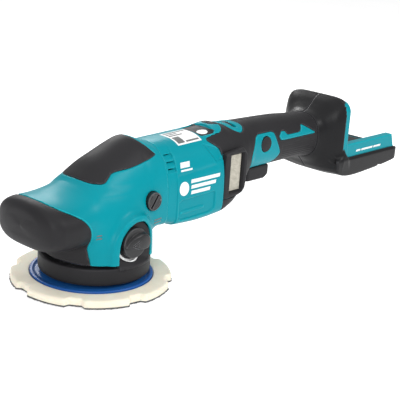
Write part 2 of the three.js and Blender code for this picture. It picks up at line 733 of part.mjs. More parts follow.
function dialRegion(margin) {
  const half = 20 - margin;
  return box(158 + margin, 180 - margin, -half, half, 112, 140);
}

function triggerSlot() {
  const { front, rear, half } = trigger;
  return box(front - 1.5, rear + 1.5, -half - 0.8, half + 0.8, 40, 86);
}

function buttonHole(clearance) {
  return rodAlongY(button.x, button.z, button.radius + clearance, -60, -10);
}

function makeHandleGrips() {
  const rows = rowsBetween(motorRows, 110, gripEndX);
  const coreRows = rowsBetween(motorRows, 109, gripEndX + 1);
  const skin = loft(rows).subtract(loft(coreRows, skinThickness));
  const plateCut = across(switchPlate, -reach, reach);
  const stripCut = across(arrowStrip, -reach, reach);
  const screwCuts = screwPlaces.map(([x, z]) => rodAlongY(x, z, 4, 0, 60, 12));
  const kept = skin.intersect(across(rearOutline, -reach, reach));
  const cuts = [plateCut, stripCut, dialRegion(0), triggerSlot(), ...filterWindow(), ...screwCuts];
  addHalves('handle_grip', cutAll(kept, cuts), charcoal, 0.75);
}

// The battery foot: an upright liner and an open tray with inward lips that the battery slides under.
function batteryTray() {
  const { railTop, floor, seat, outer, inner, lip, rear } = bay;
  const liner = loft([
    [wallX + gap, 39.6, 134.6, 92, seat, 5.5, 8], [wallBackX, 39.6, 134.6, 92, seat, 5.5, 8],
  ]);
  const sideOutline = [[wallBackX - 1, seat], [rear, seat], [rear - 7, railTop], [wallBackX - 1, railTop]];
  const block = across(sideOutline, -outer, outer);
  const hollow = box(wallBackX, rear + 10, -inner, inner, floor, railTop - 4);
  const mouth = box(wallBackX, rear + 10, -lip, lip, floor, railTop + 5);
  return liner.add(cutAll(block, [hollow, mouth]));
}

function makeHandleShells() {
  const rows = rowsBetween(motorRows, sideEndX + gap, wallX + 2);
  const cavityRows = rowsBetween(motorRows, sideEndX - 1, wallX - 6);
  const region = across(rearOutline, -reach, reach);
  const tube = loft(rows, shellInset).intersect(region);
  const raised = loft(rowsBetween(motorRows, sideEndX + gap, wallX));
  const panels = unite([
    across(shrink(switchPlate, gap), -reach, reach),
    across(shrink(arrowStrip, gap), -reach, reach),
    dialRegion(gap),
  ]);
  const body = unite([tube, raised.intersect(panels), batteryTray()]);
  const screwCuts = screwPlaces.map(([x, z]) => rodAlongY(x, z, 4, 14, 60, 12));
  const shankCuts = screwPlaces.map(([x, z]) => rodAlongY(x, z, 1.9, -2, 60, 8));
  const dialSlot = box(dial.x - 3.1, dial.x + 3.1, -13.4, 13.4, 110, 140);
  const cuts = [
    loft(everySecond(cavityRows), shellInset + shellWall), triggerSlot(), buttonHole(gap), dialSlot,
    ...filterWindow(), ...screwCuts, ...shankCuts,
  ];
  addHalves('handle_shell', cutAll(body, cuts), teal, 0.4);
}

function makeGuard() {
  const tubeClear = loft(rowsBetween(motorRows, gripEndX - 1, wallX + 5), skinThickness);
  const flare = loft(guardRows);
  const flareCavity = loft([
    [304, 22, 114, 95, 68, 2.4, 2.4], [312, 30, 124, 93, 60, 3, 3], [wallX + 1, 37.5, 132, 90, 70, 5, 5],
  ]);
  const profile = [
    [wallX - 3, 54.5], [340, 51], [360, 51], [391, 52.4], [393, 53.6], [397, 53.6], [399, 52.8],
    [424, 55.2], [rearX, 58.4], [rearX, 64.4], [428, 70], [bay.rear + gap, 70],
    [bay.rear + gap, bay.seat - gap], [wallX - 3, bay.seat - gap],
  ];
  const base = across(profile, -43, 43);
  const baseHollow = box(wallX + 12, 424, -39, 39, 55.6, 90);
  const sideLips = [
    across([[wallX + 6, 60], [424, 60], [424, 70], [wallX + 6, 72]], -43, -bay.outer - gap),
    across([[wallX + 6, 60], [424, 60], [424, 70], [wallX + 6, 72]], bay.outer + gap, 43),
  ];
  const solid = unite([flare.subtract(flareCavity), base.subtract(baseHollow), ...sideLips]);
  addHalves('battery_guard', cutAll(solid, [tubeClear]), black, 0.7);
}

function makeTerminals() {
  const block = box(wallBackX + 0.8, 350, -15, 15, bay.floor + gap, 79);
  const slots = [-9, 9].map((y) => box(340, 360, y - 0.8, y + 0.8, 71, 85));
  addPart('terminal_block', cutAll(block, slots), black, 0.5);
  addMetal('terminal_positive', box(342, 362, -9.4, -8.6, 71.4, 78));
  addMetal('terminal_negative', box(342, 362, 8.6, 9.4, 71.4, 78));
}

function makeHandleScrews() {
  screwPlaces.forEach(([x, z], i) => {
    const head = rodAlongY(x, z, 3.5, 15, 18, 10);
    const shank = rodAlongY(x, z, 1.5, 2, 15.1, 8);
    addMetal(`handle_screw_${i + 1}`, head.add(shank));
  });
}

// ---- controls and electronics -----------------------------------------------------------------------------

function makeControls() {
  const { front, rear, bottom, top, half } = trigger;
  const outline = [
    [front, bottom + 3], [front + 3, bottom], [rear - 6, bottom + 1.5], [rear - 1, bottom + 4],
    [rear, top], [front, top],
  ];
  addPart('trigger', across(outline, -half, half), charcoal, 0.6);

  const cap = rodAlongY(button.x, button.z, button.radius, button.face, -19, 24);
  const stem = rodAlongY(button.x, button.z, 3, -19.1, -16, 16);
  addPart('lock_button', cap.add(stem), charcoal, 0.6);

  const wheel = rodAlongX(dial.x - dial.width / 2, dial.x + dial.width / 2, 0, dial.z, dial.radius, 28);
  const grooves = [];
  const grooveCount = 14;
  for (let i = 0; i < grooveCount; i += 1) {
    const groove = box(dial.x - 4, dial.x + 4, -0.6, 0.6, dial.radius - 0.8, dial.radius + 1);
    grooves.push(groove.rotate([(360 / grooveCount) * i, 0, 0]).translate([0, 0, dial.z]));
  }
  const stub = rodAlongX(dial.x + 2, dial.x + 4, 0, dial.z, 2, 12);
  addPart('speed_dial', cutAll(wheel, grooves).add(stub), black, 0.6);
}

function makeElectronics() {
  addPart('controller', box(136, 160, -22, 22, 62, 98), 0x2c3036, 0.5);
  addPart('dial_encoder', box(173.2, 180, -8, 8, 104, 116), board, 0.5);
  addPart('switch_unit', box(197, 234, -11.5, 11.5, 87, 106), black, 0.5);
}

makePad();
makeHub();
makeInnerGears();
makeCrank();
makeBevelPair();
makeGearCase();
makeHousingScrews();
makeRotor();
makeStator();
makeHead();
makePlugs();
makeSkirt();
makeModeKnob();
makeMotorHousing();
makeFilters();
makeHandleGrips();
makeHandleShells();
makeGuard();
makeTerminals();
makeHandleScrews();
makeControls();
makeElectronics();

// The front grip's face and the battery foot's end set the tool's length.
const frontX = headRows[0][0];
polisher.position.set(-(frontX + rearX) / 2, 0, 0);

export default polisher;
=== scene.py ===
"""Looks for the dual action polisher: moulded shells, soft grips, foam pad and controls round the CAD frame.

The casing is built from distance fields. A field takes X, Y and Z in millimetres, with the crank spindle
on X = Y = 0 and the pad's face at Z = 0, and gives the distance to a surface, negative inside. Each field
is meshed once and its points are then settled on the exact surface.
"""

import json
import math

import bmesh
import bpy
import numpy as np
from mathutils import Matrix, Vector


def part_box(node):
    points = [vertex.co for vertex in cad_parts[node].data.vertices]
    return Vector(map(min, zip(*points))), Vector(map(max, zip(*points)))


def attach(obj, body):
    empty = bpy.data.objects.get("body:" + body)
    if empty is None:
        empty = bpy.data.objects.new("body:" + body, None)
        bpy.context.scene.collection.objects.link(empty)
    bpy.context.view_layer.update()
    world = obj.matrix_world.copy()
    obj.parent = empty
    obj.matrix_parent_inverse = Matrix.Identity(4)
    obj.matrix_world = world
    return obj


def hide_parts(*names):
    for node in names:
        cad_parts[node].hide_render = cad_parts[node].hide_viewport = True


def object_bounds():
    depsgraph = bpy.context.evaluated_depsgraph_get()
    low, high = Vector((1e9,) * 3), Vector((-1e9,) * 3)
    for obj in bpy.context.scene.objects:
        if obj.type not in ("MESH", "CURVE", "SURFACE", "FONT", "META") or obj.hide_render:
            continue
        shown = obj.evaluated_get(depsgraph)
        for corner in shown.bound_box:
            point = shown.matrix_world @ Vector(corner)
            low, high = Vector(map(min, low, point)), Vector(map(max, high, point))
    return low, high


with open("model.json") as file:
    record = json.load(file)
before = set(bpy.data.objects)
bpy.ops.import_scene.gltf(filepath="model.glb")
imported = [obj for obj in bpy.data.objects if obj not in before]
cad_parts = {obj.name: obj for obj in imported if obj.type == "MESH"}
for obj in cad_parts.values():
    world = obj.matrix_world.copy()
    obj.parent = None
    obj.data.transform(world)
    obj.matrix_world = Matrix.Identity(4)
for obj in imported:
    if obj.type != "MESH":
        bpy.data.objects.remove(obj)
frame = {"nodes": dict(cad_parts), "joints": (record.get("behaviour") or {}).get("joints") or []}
cad_low, cad_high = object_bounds()

MM = 0.001
ANYWHERE = 500.0
crank_joint = next(joint for joint in frame["joints"] if joint["name"] == "crank_spin")
pad_joint = next(joint for joint in frame["joints"] if joint["name"] == "pad_spin")
SPINDLE_X = crank_joint["pos_m"][0]
PAD_X = (pad_joint["pos_m"][0] - SPINDLE_X) / MM

# ---- driving dimensions, in millimetres ----

SEAM_GAP = 0.3
WALL = 2.6
RELIEF_ROOM = 1.4
SKIN = 2.0
HANDLE_WALL = 2.4
GUARD_WALL = 3.6
NOSE_X = -86.0
HEAD_END_X = 54.6
HOUSING_START_X = 55.3
GRIP_END_X = 296.0
WALL_X = 322.0
RIM_X = 326.0
WALL_BACK_X = 330.0
TRAY_END_X = 426.0
TRAY_BOTTOM, TRAY_FLOOR, TRAY_LIP, TRAY_TOP = 66.3, 69.6, 82.0, 86.0
TRAY_HALF, TRAY_HOLLOW_HALF, TRAY_MOUTH_HALF = 40.0, 35.6, 31.0


def box_mm(node):
    """Lowest and highest corner of a CAD node in millimetres from the crank spindle."""
    low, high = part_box(node)
    shift = Vector((SPINDLE_X, 0, 0))
    return (low - shift) / MM, (high - shift) / MM


# ---- camera ----


def make_camera():
    """A long lens, low and in front of the head on its left side, with a slight roll."""
    azimuth, elevation, roll = (math.radians(v) for v in (-48.581, 17.608, 4.114))
    place = Vector((-0.787454, -0.664690, 0.366701))
    flat = math.cos(elevation)
    back = Vector((math.sin(azimuth) * flat, -math.cos(azimuth) * flat, math.sin(elevation)))
    level = Vector((math.cos(azimuth), math.sin(azimuth), 0))
    rise = back.cross(level)
    right = math.cos(roll) * level + math.sin(roll) * rise
    up = -math.sin(roll) * level + math.cos(roll) * rise
    data = bpy.data.cameras.new("camera")
    data.sensor_width = 36
    data.lens = 95.28
    data.clip_start, data.clip_end = 0.05, 20
    camera = bpy.data.objects.new("camera", data)
    bpy.context.scene.collection.objects.link(camera)
    turn = Matrix((right, up, back)).transposed()
    camera.matrix_world = Matrix.Translation(place) @ turn.to_4x4()
    bpy.context.scene.camera = camera


# ---- fields ----


def both(a, b, blend=0.6):
    """Inside both fields, with the edge rounded over about the blend length."""
    share = np.clip(0.5 + 0.5 * (a - b) / blend, 0, 1)
    return b + (a - b) * share + blend * share * (1 - share)


def either(a, b, blend=0.6):
    """Inside one field or the other, with the inner corner filled over about the blend length."""
    return -both(-a, -b, blend)


def without(solid, blend, *tools):
    """The solid with each tool cut out of it in turn."""
    for tool in tools:
        solid = both(solid, -tool, blend)
    return solid


def smooth_step(low, high, value):
    """Rises from 0 at low to 1 at high, or falls where low is the larger."""
    share = np.clip((value - low) / (high - low), 0, 1)
    return share * share * (3 - 2 * share)


def slab(value, low, high):
    """Negative between two levels."""
    return np.maximum(low - value, value - high)


def block(x, y, z, low, high, blend=0.6):
    """A box with rounded edges."""
    sides = both(slab(x, low[0], high[0]), slab(y, low[1], high[1]), blend)
    return both(sides, slab(z, low[2], high[2]), blend)


class Curve:
    """Monotone cubic curves through a table's rows, by its first column."""

    def __init__(self, rows):
        table = np.array(rows, float)
        self.x, self.rows = table[:, 0], table[:, 1:]
        rise = np.diff(self.rows, axis=0) / np.diff(self.x)[:, None]
        slope = np.zeros_like(self.rows)
        slope[0], slope[-1] = rise[0], rise[-1]
        before, after = rise[:-1], rise[1:]
        same = before * after > 0
        slope[1:-1] = np.where(same, 2 * before * after / np.where(same, before + after, 1), 0)
        self.slope = slope

    def at(self, x):
        x = np.clip(x, self.x[0], self.x[-1])
        i = np.clip(np.searchsorted(self.x, x, side="right") - 1, 0, len(self.x) - 2)
        width = self.x[i + 1] - self.x[i]
        t = (x - self.x[i]) / width
        from_low, from_high = (1 + 2 * t) * (1 - t) ** 2, t * t * (3 - 2 * t)
        slope_low, slope_high = t * (1 - t) ** 2 * width, t * t * (t - 1) * width
        return [
            from_low * self.rows[i, c]
            + from_high * self.rows[i + 1, c]
            + slope_low * self.slope[i, c]
            + slope_high * self.slope[i + 1, c]
            for c in range(self.rows.shape[1])
        ]


class Sections:
    """A body whose cross-section is a superellipse that changes along X.
    Rows: X, half width, top, widest level, bottom, upper squareness, lower squareness."""

    FAR = 40.0
    STEP = 0.5

    def __init__(self, rows):
        self.curve = Curve(rows)

    def level(self, x, y, z):
        half, top, widest, bottom, upper, lower = self.curve.at(x)
        above = z >= widest
        height = np.where(above, top - widest, widest - bottom)
        power = np.where(above, upper, lower)
        across = np.maximum(np.abs(y) / half, 1e-5)
        upward = np.maximum(np.abs(z - widest) / height, 1e-5)
        reach = (across**power + upward**power) ** (1 / power)
        common = reach ** (1 - power)
        slope = np.hypot(
            common * across ** (power - 1) / half, common * upward ** (power - 1) / height
        )
        return np.clip((reach - 1) / slope, -self.FAR, self.FAR)

    def __call__(self, x, y, z):
        here = self.level(x, y, z)
        ahead = (self.level(x + self.STEP, y, z) - here) / self.STEP
        return here / np.sqrt(1 + np.clip(ahead, -2, 2) ** 2)


class Outline:
    """Signed distance to a closed outline in side view, with its corners cut round."""

    PITCH = 0.5
    MARGIN = 24.0

    def __init__(self, points, rounds=2, cut=0.2):
        loop = np.array(points, float)
        for _ in range(rounds):
            after = np.roll(loop, -1, axis=0)
            near, far = (1 - cut) * loop + cut * after, cut * loop + (1 - cut) * after
            loop = np.stack([near, far], 1).reshape(-1, 2)
        self.low = loop.min(0) - self.MARGIN
        count = np.ceil((loop.max(0) + self.MARGIN - self.low) / self.PITCH).astype(int) + 1
        u = (self.low[0] + np.arange(count[0]) * self.PITCH)[:, None]
        v = (self.low[1] + np.arange(count[1]) * self.PITCH)[None, :]
        nearest = np.full(count, ANYWHERE**2)
        inside = np.zeros(count, bool)
        for a, b in zip(loop, np.roll(loop, -1, axis=0)):
            edge = b - a
            along = np.clip(((u - a[0]) * edge[0] + (v - a[1]) * edge[1]) / (edge @ edge + 1e-12), 0, 1)
            away = (u - a[0] - along * edge[0]) ** 2 + (v - a[1] - along * edge[1]) ** 2
            nearest = np.minimum(nearest, away)
            spans = (a[1] > v) != (b[1] > v)
            inside ^= spans & (u < a[0] + (v - a[1]) * edge[0] / (edge[1] if edge[1] else 1e-9))
        self.distance = np.sqrt(nearest) * np.where(inside, -1, 1)

    def __call__(self, u, v):
        size = self.distance.shape
        s = np.clip((u - self.low[0]) / self.PITCH, 0, size[0] - 1.001)
        t = np.clip((v - self.low[1]) / self.PITCH, 0, size[1] - 1.001)
        i, j = s.astype(int), t.astype(int)
        s, t = s - i, t - j
        d = self.distance
        below = d[i, j] * (1 - s) + d[i + 1, j] * s
        above = d[i, j + 1] * (1 - s) + d[i + 1, j + 1] * s
        return below * (1 - t) + above * t


# ---- meshing ----


def cell_points(values, low, step):
    """One point in each cell that the surface crosses, and the cells' own indices."""
    inside = values < 0
    count = sum(
        inside[a : a - 1 or None, b : b - 1 or None, c : c - 1 or None].astype(np.int8)
        for a in (0, 1)
        for b in (0, 1)
        for c in (0, 1)
    )
    i, j, k = np.nonzero((count > 0) & (count < 8))
    total = np.zeros((len(i), 3))
    hits = np.zeros(len(i))
    for axis in range(3):
        others = [a for a in range(3) if a != axis]
        for first in (0, 1):
            for second in (0, 1):
                start = np.stack([i, j, k])
                start[others[0]] += first
                start[others[1]] += second
                end = start.copy()
                end[axis] += 1
                a, b = values[tuple(start)], values[tuple(end)]
                crossed = (a < 0) != (b < 0)
                place = start.T.astype(float)
                place[:, axis] += np.where(crossed, a / np.where(crossed, a - b, 1), 0)
                total += place * crossed[:, None]
                hits += crossed
    return np.array(low) + step * total / hits[:, None], (i, j, k)


def cell_quads(values, cells):
    """The quads that join the points of neighbouring cells, facing out of the solid."""
    number = np.full(np.array(values.shape) - 1, -1, np.int64)
    number[cells] = np.arange(len(cells[0]))
    quads = []
    for axis in range(3):
        u, v = (axis + 1) % 3, (axis + 2) % 3
        low = [slice(None)] * 3
        high = [slice(None)] * 3
        low[axis], high[axis] = slice(0, -1), slice(1, None)
        a, b = values[tuple(low)] < 0, values[tuple(high)] < 0
        for leaving in (True, False):
            edge = np.stack(np.nonzero((a & ~b) if leaving else (~a & b)))
            edge = edge[:, (edge[u] > 0) & (edge[v] > 0)]
            edge = edge[:, (edge[u] < values.shape[u] - 1) & (edge[v] < values.shape[v] - 1)]
            corners = []
            for du, dv in ((1, 1), (0, 1), (0, 0), (1, 0)):
                cell = edge.copy()
                cell[u] -= du
                cell[v] -= dv
                corners.append(number[tuple(cell)])
            quads.append(np.stack(corners if leaving else corners[::-1], 1))
    return np.concatenate(quads)


def settled(points, field, step, rounds=2):
    """Moves the points along the field's slope until they lie on its surface."""
    shift = 0.05
    for _ in range(rounds):
        value = field(*points.T)
        slope = np.stack([(field(*(points + d).T) - value) / shift for d in np.eye(3) * shift], 1)
        size = np.maximum((slope**2).sum(1), 0.3)
        move = -(value / size)[:, None] * slope
        length = np.linalg.norm(move, axis=1)
        move *= np.minimum(1, 0.6 * step / np.maximum(length, 1e-9))[:, None]
        points = points + move
    return points


def new_object(name, points, faces):
    """A mesh object from points in millimetres in the spindle's frame."""
    mesh = bpy.data.meshes.new(name)
    place = np.asarray(points, float) * MM + np.array((SPINDLE_X, 0, 0))
    mesh.from_pydata(place.tolist(), [], np.asarray(faces).tolist())
    mesh.validate()
    mesh.polygons.foreach_set("use_smooth", np.ones(len(mesh.polygons), bool))
    mesh.update()
    thing = bpy.data.objects.new(name, mesh)
    bpy.context.scene.collection.objects.link(thing)
    return thing


def field_object(name, field, low, high, step):
    """Meshes a field inside a box. The box closes any surface that runs out of it."""
    axes = [np.arange(a - step, b + 1.01 * step, step) for a, b in zip(low, high)]
    x, y, z = axes[0][:, None, None], axes[1][None, :, None], axes[2][None, None, :]
    values = np.array(np.broadcast_to(field(x, y, z), [len(a) for a in axes]), float)
    for axis in range(3):
        for end in (0, -1):
            edge = [slice(None)] * 3
            edge[axis] = end
            values[tuple(edge)] = np.maximum(values[tuple(edge)], step / 2)
    values[values == 0] = 1e-6
    points, cells = cell_points(values, [a[0] for a in axes], step)
    quads = cell_quads(values, cells)
    return new_object(name, settled(points, field, step), quads)


def lathe_object(name, profile, segments, rim=None):
    """Turns a closed [radius, Z] profile about the pad's axis. rim(angle, radius) gives a point's radius."""
    count = len(profile)
    points = []
    faces = []
    for s in range(segments):
        angle = 2 * math.pi * s / segments
        here, after = s * count, (s + 1) % segments * count
        for p, (radius, z) in enumerate(profile):
            r = rim(angle, radius) if rim else radius
            points.append((PAD_X + r * math.cos(angle), r * math.sin(angle), z))
            q = (p + 1) % count
            faces.append((here + p, after + p, after + q, here + q))
    return new_object(name, points, faces)


replaced_nodes = set()


def finish_piece(thing, material, *nodes, body="root", slot=None):
    """Gives a new piece its material, its body and the CAD nodes that it stands for."""
    thing.data.materials.clear()
    thing.data.materials.append(MATERIALS[material])
    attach(thing, body)
    if nodes:
        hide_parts(*nodes)
        replaced_nodes.update(nodes)


def field_piece(name, field, low, high, step, material, node, **settings):
    """Meshes a field and makes it the piece that stands for one CAD node."""
    finish_piece(field_object(name, field, low, high, step), material, node, **settings)


# ---- materials ----


class Nodes:
    """A small builder of node materials."""

    def __init__(self, name):
        self.material = bpy.data.materials.new(name)
        self.material.use_nodes = True
        self.tree = self.material.node_tree
        self.place = self.add("ShaderNodeTexCoord").outputs["Object"]

    def fill(self, node, inputs):
        """Sets a node's inputs: another node's output is joined on, and anything else is a value."""
        for name, value in inputs.items():
            if isinstance(value, bpy.types.NodeSocket):
                self.tree.links.new(value, node.inputs[name])
            else:
                node.inputs[name].default_value = value

    def add(self, kind, inputs=None, **settings):
        node = self.tree.nodes.new(kind)
        for key, value in settings.items():
            setattr(node, key, value)
        self.fill(node, inputs or {})
        return node

    def finish(self, inputs):
        """Sets the shader's own inputs and gives the material."""
        self.fill(self.tree.nodes["Principled BSDF"], inputs)
        return self.material

    def noise(self, scale, detail, roughness=0.55):
        inputs = {"Vector": self.place, "Scale": scale, "Detail": detail, "Roughness": roughness}
        return self.add("ShaderNodeTexNoise", inputs).outputs["Fac"]

    def cells(self, scale):
        return self.add("ShaderNodeTexVoronoi", {"Vector": self.place, "Scale": scale}).outputs["Distance"]

    def ramp(self, source, *stops):
        """Turns a 0 to 1 value into a colour, from two stops of (place, colour)."""
        node = self.add("ShaderNodeValToRGB", {"Fac": source})
        for element, (place, colour) in zip(node.color_ramp.elements, stops):
            element.position = place
            element.color = (*colour, 1)
        return node.outputs["Color"]

    def spread(self, source, low, high):
        inputs = {"Value": source, "To Min": low, "To Max": high}
        return self.add("ShaderNodeMapRange", inputs).outputs["Result"]

    def blend(self, share, first, second):
        inputs = {"Factor": share, "A": first, "B": second}
        return self.add("ShaderNodeMix", inputs, data_type="RGBA").outputs["Result"]

    def bump(self, source, strength, distance, onto=None):
        inputs = {"Height": source, "Strength": strength, "Distance": distance}
        if onto:
            inputs["Normal"] = onto
        return self.add("ShaderNodeBump", inputs).outputs["Normal"]

    def edges(self):
        """1 on outward edges, for the wear and catch of light there."""
        pointed = self.add("ShaderNodeNewGeometry").outputs["Pointiness"]
        inputs = {"Value": pointed, "From Min": 0.515, "From Max": 0.58}
        return self.add("ShaderNodeMapRange", inputs).outputs["Result"]


def moulded(name, dark, light, roughness, grain, grain_depth, edge_wear_and_highlight=None, specular=0.5):
    """Moulded plastic or elastomer: fine sparked grain, faint flow marks, and outward edges lightened for
    slight rubbing and as a painted highlight.
    """
    made = Nodes(name)
    colour = made.ramp(made.noise(14, 2), (0.3, dark), (0.7, light))
    # Outward edges get a lighter colour: partly rubbed wear, partly a painted highlight.
    if edge_wear_and_highlight:
        colour = made.blend(made.edges(), colour, (*edge_wear_and_highlight, 1))
    fine = made.bump(made.noise(grain, 2, 0.5), 0.35, grain_depth)
    return made.finish({
        "Base Color": colour,
        "Roughness": made.spread(made.noise(160, 4), *roughness),
        "Normal": made.bump(made.cells(grain * 0.6), 0.25, grain_depth, fine),
        "Specular IOR Level": specular,
    })


def foam_material():
    """Cream polyurethane foam: a tight moulded skin with small open pores and a slightly uneven tone."""
    made = Nodes("foam")
    colour = made.ramp(made.noise(55, 5), (0.3, (0.72, 0.67, 0.54)), (0.7, (0.79, 0.74, 0.62)))
    pores = made.ramp(made.cells(1500), (0.05, (0, 0, 0)), (0.32, (1, 1, 1)))
    return made.finish({
        "Base Color": made.blend(pores, (0.72, 0.66, 0.52, 1), colour),
        "Roughness": 0.85,
        "Subsurface Weight": 0.12,
        "Subsurface Scale": 0.004,
        "Sheen Weight": 0.15,
        "Normal": made.bump(made.noise(300, 4), 0.35, 0.0005, made.bump(pores, 0.5, 0.0003)),
    })


def hook_material():
    """Dark hook fabric: a woven ground with a fuzzy sheen."""
    made = Nodes("hooks")
    return made.finish({
        "Base Color": made.ramp(made.noise(900, 5), (0.35, (0.012, 0.012, 0.014)), (0.7, (0.1, 0.1, 0.11))),
        "Roughness": 0.95,
        "Sheen Weight": 0.4,
        "Normal": made.bump(made.cells(1400), 1.0, 0.0008),
    })


def metal_material(name, dark, light, roughness, stretch):
    """Machined or cast metal with fine tool marks."""
    made = Nodes(name)
    mapping = made.add("ShaderNodeMapping", {"Vector": made.place, "Scale": stretch})
    made.place = mapping.outputs["Vector"]
    marks = made.noise(420, 4)
    return made.finish({
        "Base Color": made.ramp(marks, (0.25, dark), (0.75, light)),
        "Roughness": made.spread(marks, *roughness),
        "Metallic": 1,
        "Normal": made.bump(marks, 0.3, 0.0001),
    })


def copper_material():
    """Enamelled copper windings: tight parallel turns."""
    made = Nodes("copper")
    inputs = {"Vector": made.place, "Scale": 500, "Distortion": 0.6}
    wave = made.add("ShaderNodeTexWave", inputs, wave_type="BANDS", bands_direction="DIAGONAL")
    turns = wave.outputs["Fac"]
    return made.finish({
        "Base Color": made.ramp(turns, (0.1, (0.25, 0.08, 0.03)), (0.8, (0.72, 0.3, 0.12))),
        "Metallic": 0.8,
        "Roughness": 0.35,
        "Normal": made.bump(turns, 0.6, 0.0003),
    })


def board_material():
    """Green circuit board with faint copper traces under the lacquer."""
    made = Nodes("board")
    traces = made.add("ShaderNodeTexBrick", {
        "Vector": made.place,
        "Scale": 160,
        "Color1": (0.01, 0.09, 0.04, 1),
        "Color2": (0.015, 0.12, 0.05, 1),
        "Mortar": (0.06, 0.2, 0.08, 1),
    })
    return made.finish({
        "Base Color": traces.outputs["Color"],
        "Roughness": 0.3,
        "Normal": made.bump(traces.outputs["Fac"], 0.3, 0.0001),
    })


def screen_material():
    """Stainless filter cloth: fine crossed wires with dusty hollows."""
    made = Nodes("filter_cloth")
    dust = made.noise(240, 5)
    return made.finish({
        "Base Color": made.ramp(dust, (0.3, (0.38, 0.36, 0.3)), (0.75, (0.55, 0.52, 0.45))),
        "Metallic": 0.55,
        "Roughness": made.spread(dust, 0.4, 0.6),
        "Normal": made.bump(made.noise(1200, 2), 0.3, 0.0002),
    })


# Each row: dark and light tone, roughness range, grain scale, grain depth, edge colour for wear and painted
# highlight, specular level.
MOULDED = {
    "teal": (
        (0.0, 0.215, 0.262), (0.0, 0.235, 0.285), (0.3, 0.38), 2600, 0.00006, (0.01, 0.33, 0.38), 0.09,
    ),
    "elastomer": (
        (0.015, 0.0145, 0.016), (0.02, 0.0195, 0.0215), (0.44, 0.54), 2200, 0.0001,
        (0.045, 0.044, 0.048), 0.14,
    ),
    "guard": (
        (0.007, 0.007, 0.008), (0.0105, 0.0105, 0.0115), (0.32, 0.42), 2200, 0.0001,
        (0.03, 0.03, 0.033), 0.15,
    ),
    "black": (
        (0.008, 0.008, 0.009), (0.012, 0.012, 0.0135), (0.3, 0.4), 2600, 0.00006, (0.14, 0.14, 0.15), 0.36,
    ),
    "blue": (
        (0.008, 0.07, 0.25), (0.011, 0.09, 0.31), (0.28, 0.38), 2400, 0.00005, (0.01, 0.11, 0.5), 0.36,
    ),
    "white_print": ((0.72, 0.73, 0.73), (0.8, 0.8, 0.8), (0.45, 0.6), 3000, 0.00003),
    "grey_print": ((0.09, 0.1, 0.1), (0.13, 0.14, 0.14), (0.45, 0.6), 3000, 0.00003),
}


def make_materials():
    return {
        **{name: moulded(name, *values) for name, values in MOULDED.items()},
        "foam": foam_material(),
        "hooks": hook_material(),
        "steel": metal_material("steel", (0.5, 0.5, 0.52), (0.66, 0.67, 0.68), (0.22, 0.38), (1, 1, 6)),
        "aluminium": metal_material(
            "aluminium", (0.5, 0.51, 0.52), (0.62, 0.63, 0.64), (0.4, 0.6), (1, 1, 1)
        ),
        "copper": copper_material(),
        "board": board_material(),
        "screen": screen_material(),
    }


MATERIALS = make_materials()

# ---- casing shapes ----

HEAD = Sections([
    (-86, 24, 82.5, 68, 56, 2.3, 2.5),
    (-84.5, 30, 85.6, 68, 51.5, 2.3, 2.7),
    (-80, 36.5, 87.8, 68, 48, 2.35, 3),
    (-70, 41.5, 89.3, 67, 46, 2.3, 3),
    (-57, 42, 90, 66, 45, 2.2, 3),
    (-34, 39, 96, 65, 46, 2.1, 3),
    (-24, 38.5, 103.5, 64, 46, 2.1, 3),
    (-10, 38, 113.5, 63, 46, 2.1, 3.4),
    (8, 38, 121.5, 63, 46, 2.1, 3.4),
    (24, 38, 128.2, 63, 46, 2.05, 3.5),
    (31, 38, 130, 63, 46, 2.05, 3.6),
    (36, 38, 128.6, 63, 46, 2.2, 3.6),
    (46, 37.4, 124.5, 63, 46, 2.5, 3.6),
    (54.7, 37, 121.5, 63, 46, 2.7, 4),
])
BODY = Sections([
    (55, 37, 121.5, 63, 46, 2.7, 4),
    (70, 37.4, 122, 63, 43.5, 2.7, 5),
    (100, 37.5, 122.8, 64, 42.5, 2.7, 5.5),
    (131, 37.2, 124.3, 66, 43.5, 2.6, 5),
    (146, 36.5, 127.4, 70, 46, 2.3, 4),
    (156, 35, 124.6, 76, 48.5, 2.5, 3.4),
    (174, 29.4, 123.6, 88, 56, 2.5, 2.6),
    (183, 26.4, 123.4, 93, 65, 2.5, 2.4),
    (193, 24.2, 123.3, 97, 72, 2.4, 2.3),
    (246, 23.2, 122, 97, 72.5, 2.4, 2.3),
    (277, 23, 119.5, 96, 73, 2.4, 2.3),
    (296, 23.4, 118.6, 95, 71, 2.4, 2.3),
    (322, 23.4, 118.6, 95, 71, 2.4, 2.3),
])
FLARE = Sections([
    (296.3, 24, 119, 95, 70, 2.4, 2.4),
    (303, 27, 121, 95, 64, 2.6, 2.8),
    (309, 32, 126, 94, 59, 3, 3),
    (315, 37.5, 132, 92, 56.5, 3.8, 3.2),
    (322, 41.5, 136.5, 90, 54, 5.5, 3.4),
])
DRUM = Curve([(20, 50.7), (39, 50.2), (51, 48.6), (64, 44.2), (76, 40), (88, 34)])

FRONT_GRIP = Outline([
    (-74, 110), (-74, 89), (-68, 85), (-57, 79.5), (-48, 74), (-41, 65), (-39.5, 55), (-38.5, 47),
    (-35.8, 30), (-34.2, 20), (-100, 20), (-100, 110),
])
CROWN = Outline([
    (-30, 103), (-28, 99.5), (-23, 98), (-15, 98), (-9, 102.5), (-4, 106), (17, 108), (40, 113),
    (53.5, 116), (60, 150), (-30, 150),
])
REAR = Outline([
    (131.3, 30), (131.3, 107.5), (116.5, 118), (142, 121), (152, 128), (160, 145), (340, 145), (340, 30),
], 1, 0.1)
SADDLE = Outline([(140.5, -4), (140.5, 7), (149, 13), (165, 13), (165, -11), (151, -10)], 1)
SWITCH_PLATE = Outline([
    (184, 90), (192.5, 112), (221, 112), (227, 100), (234, 88), (231, 81), (218, 72), (187, 73.5),
], 1, 0.12)
ARROW_STRIP = Outline([
    (230, 105.5), (234, 110), (239, 110), (244, 105.5), (266, 105.5), (270, 113), (293, 101.5), (288, 100.5),
    (233, 100.5),
], 1, 0.1)
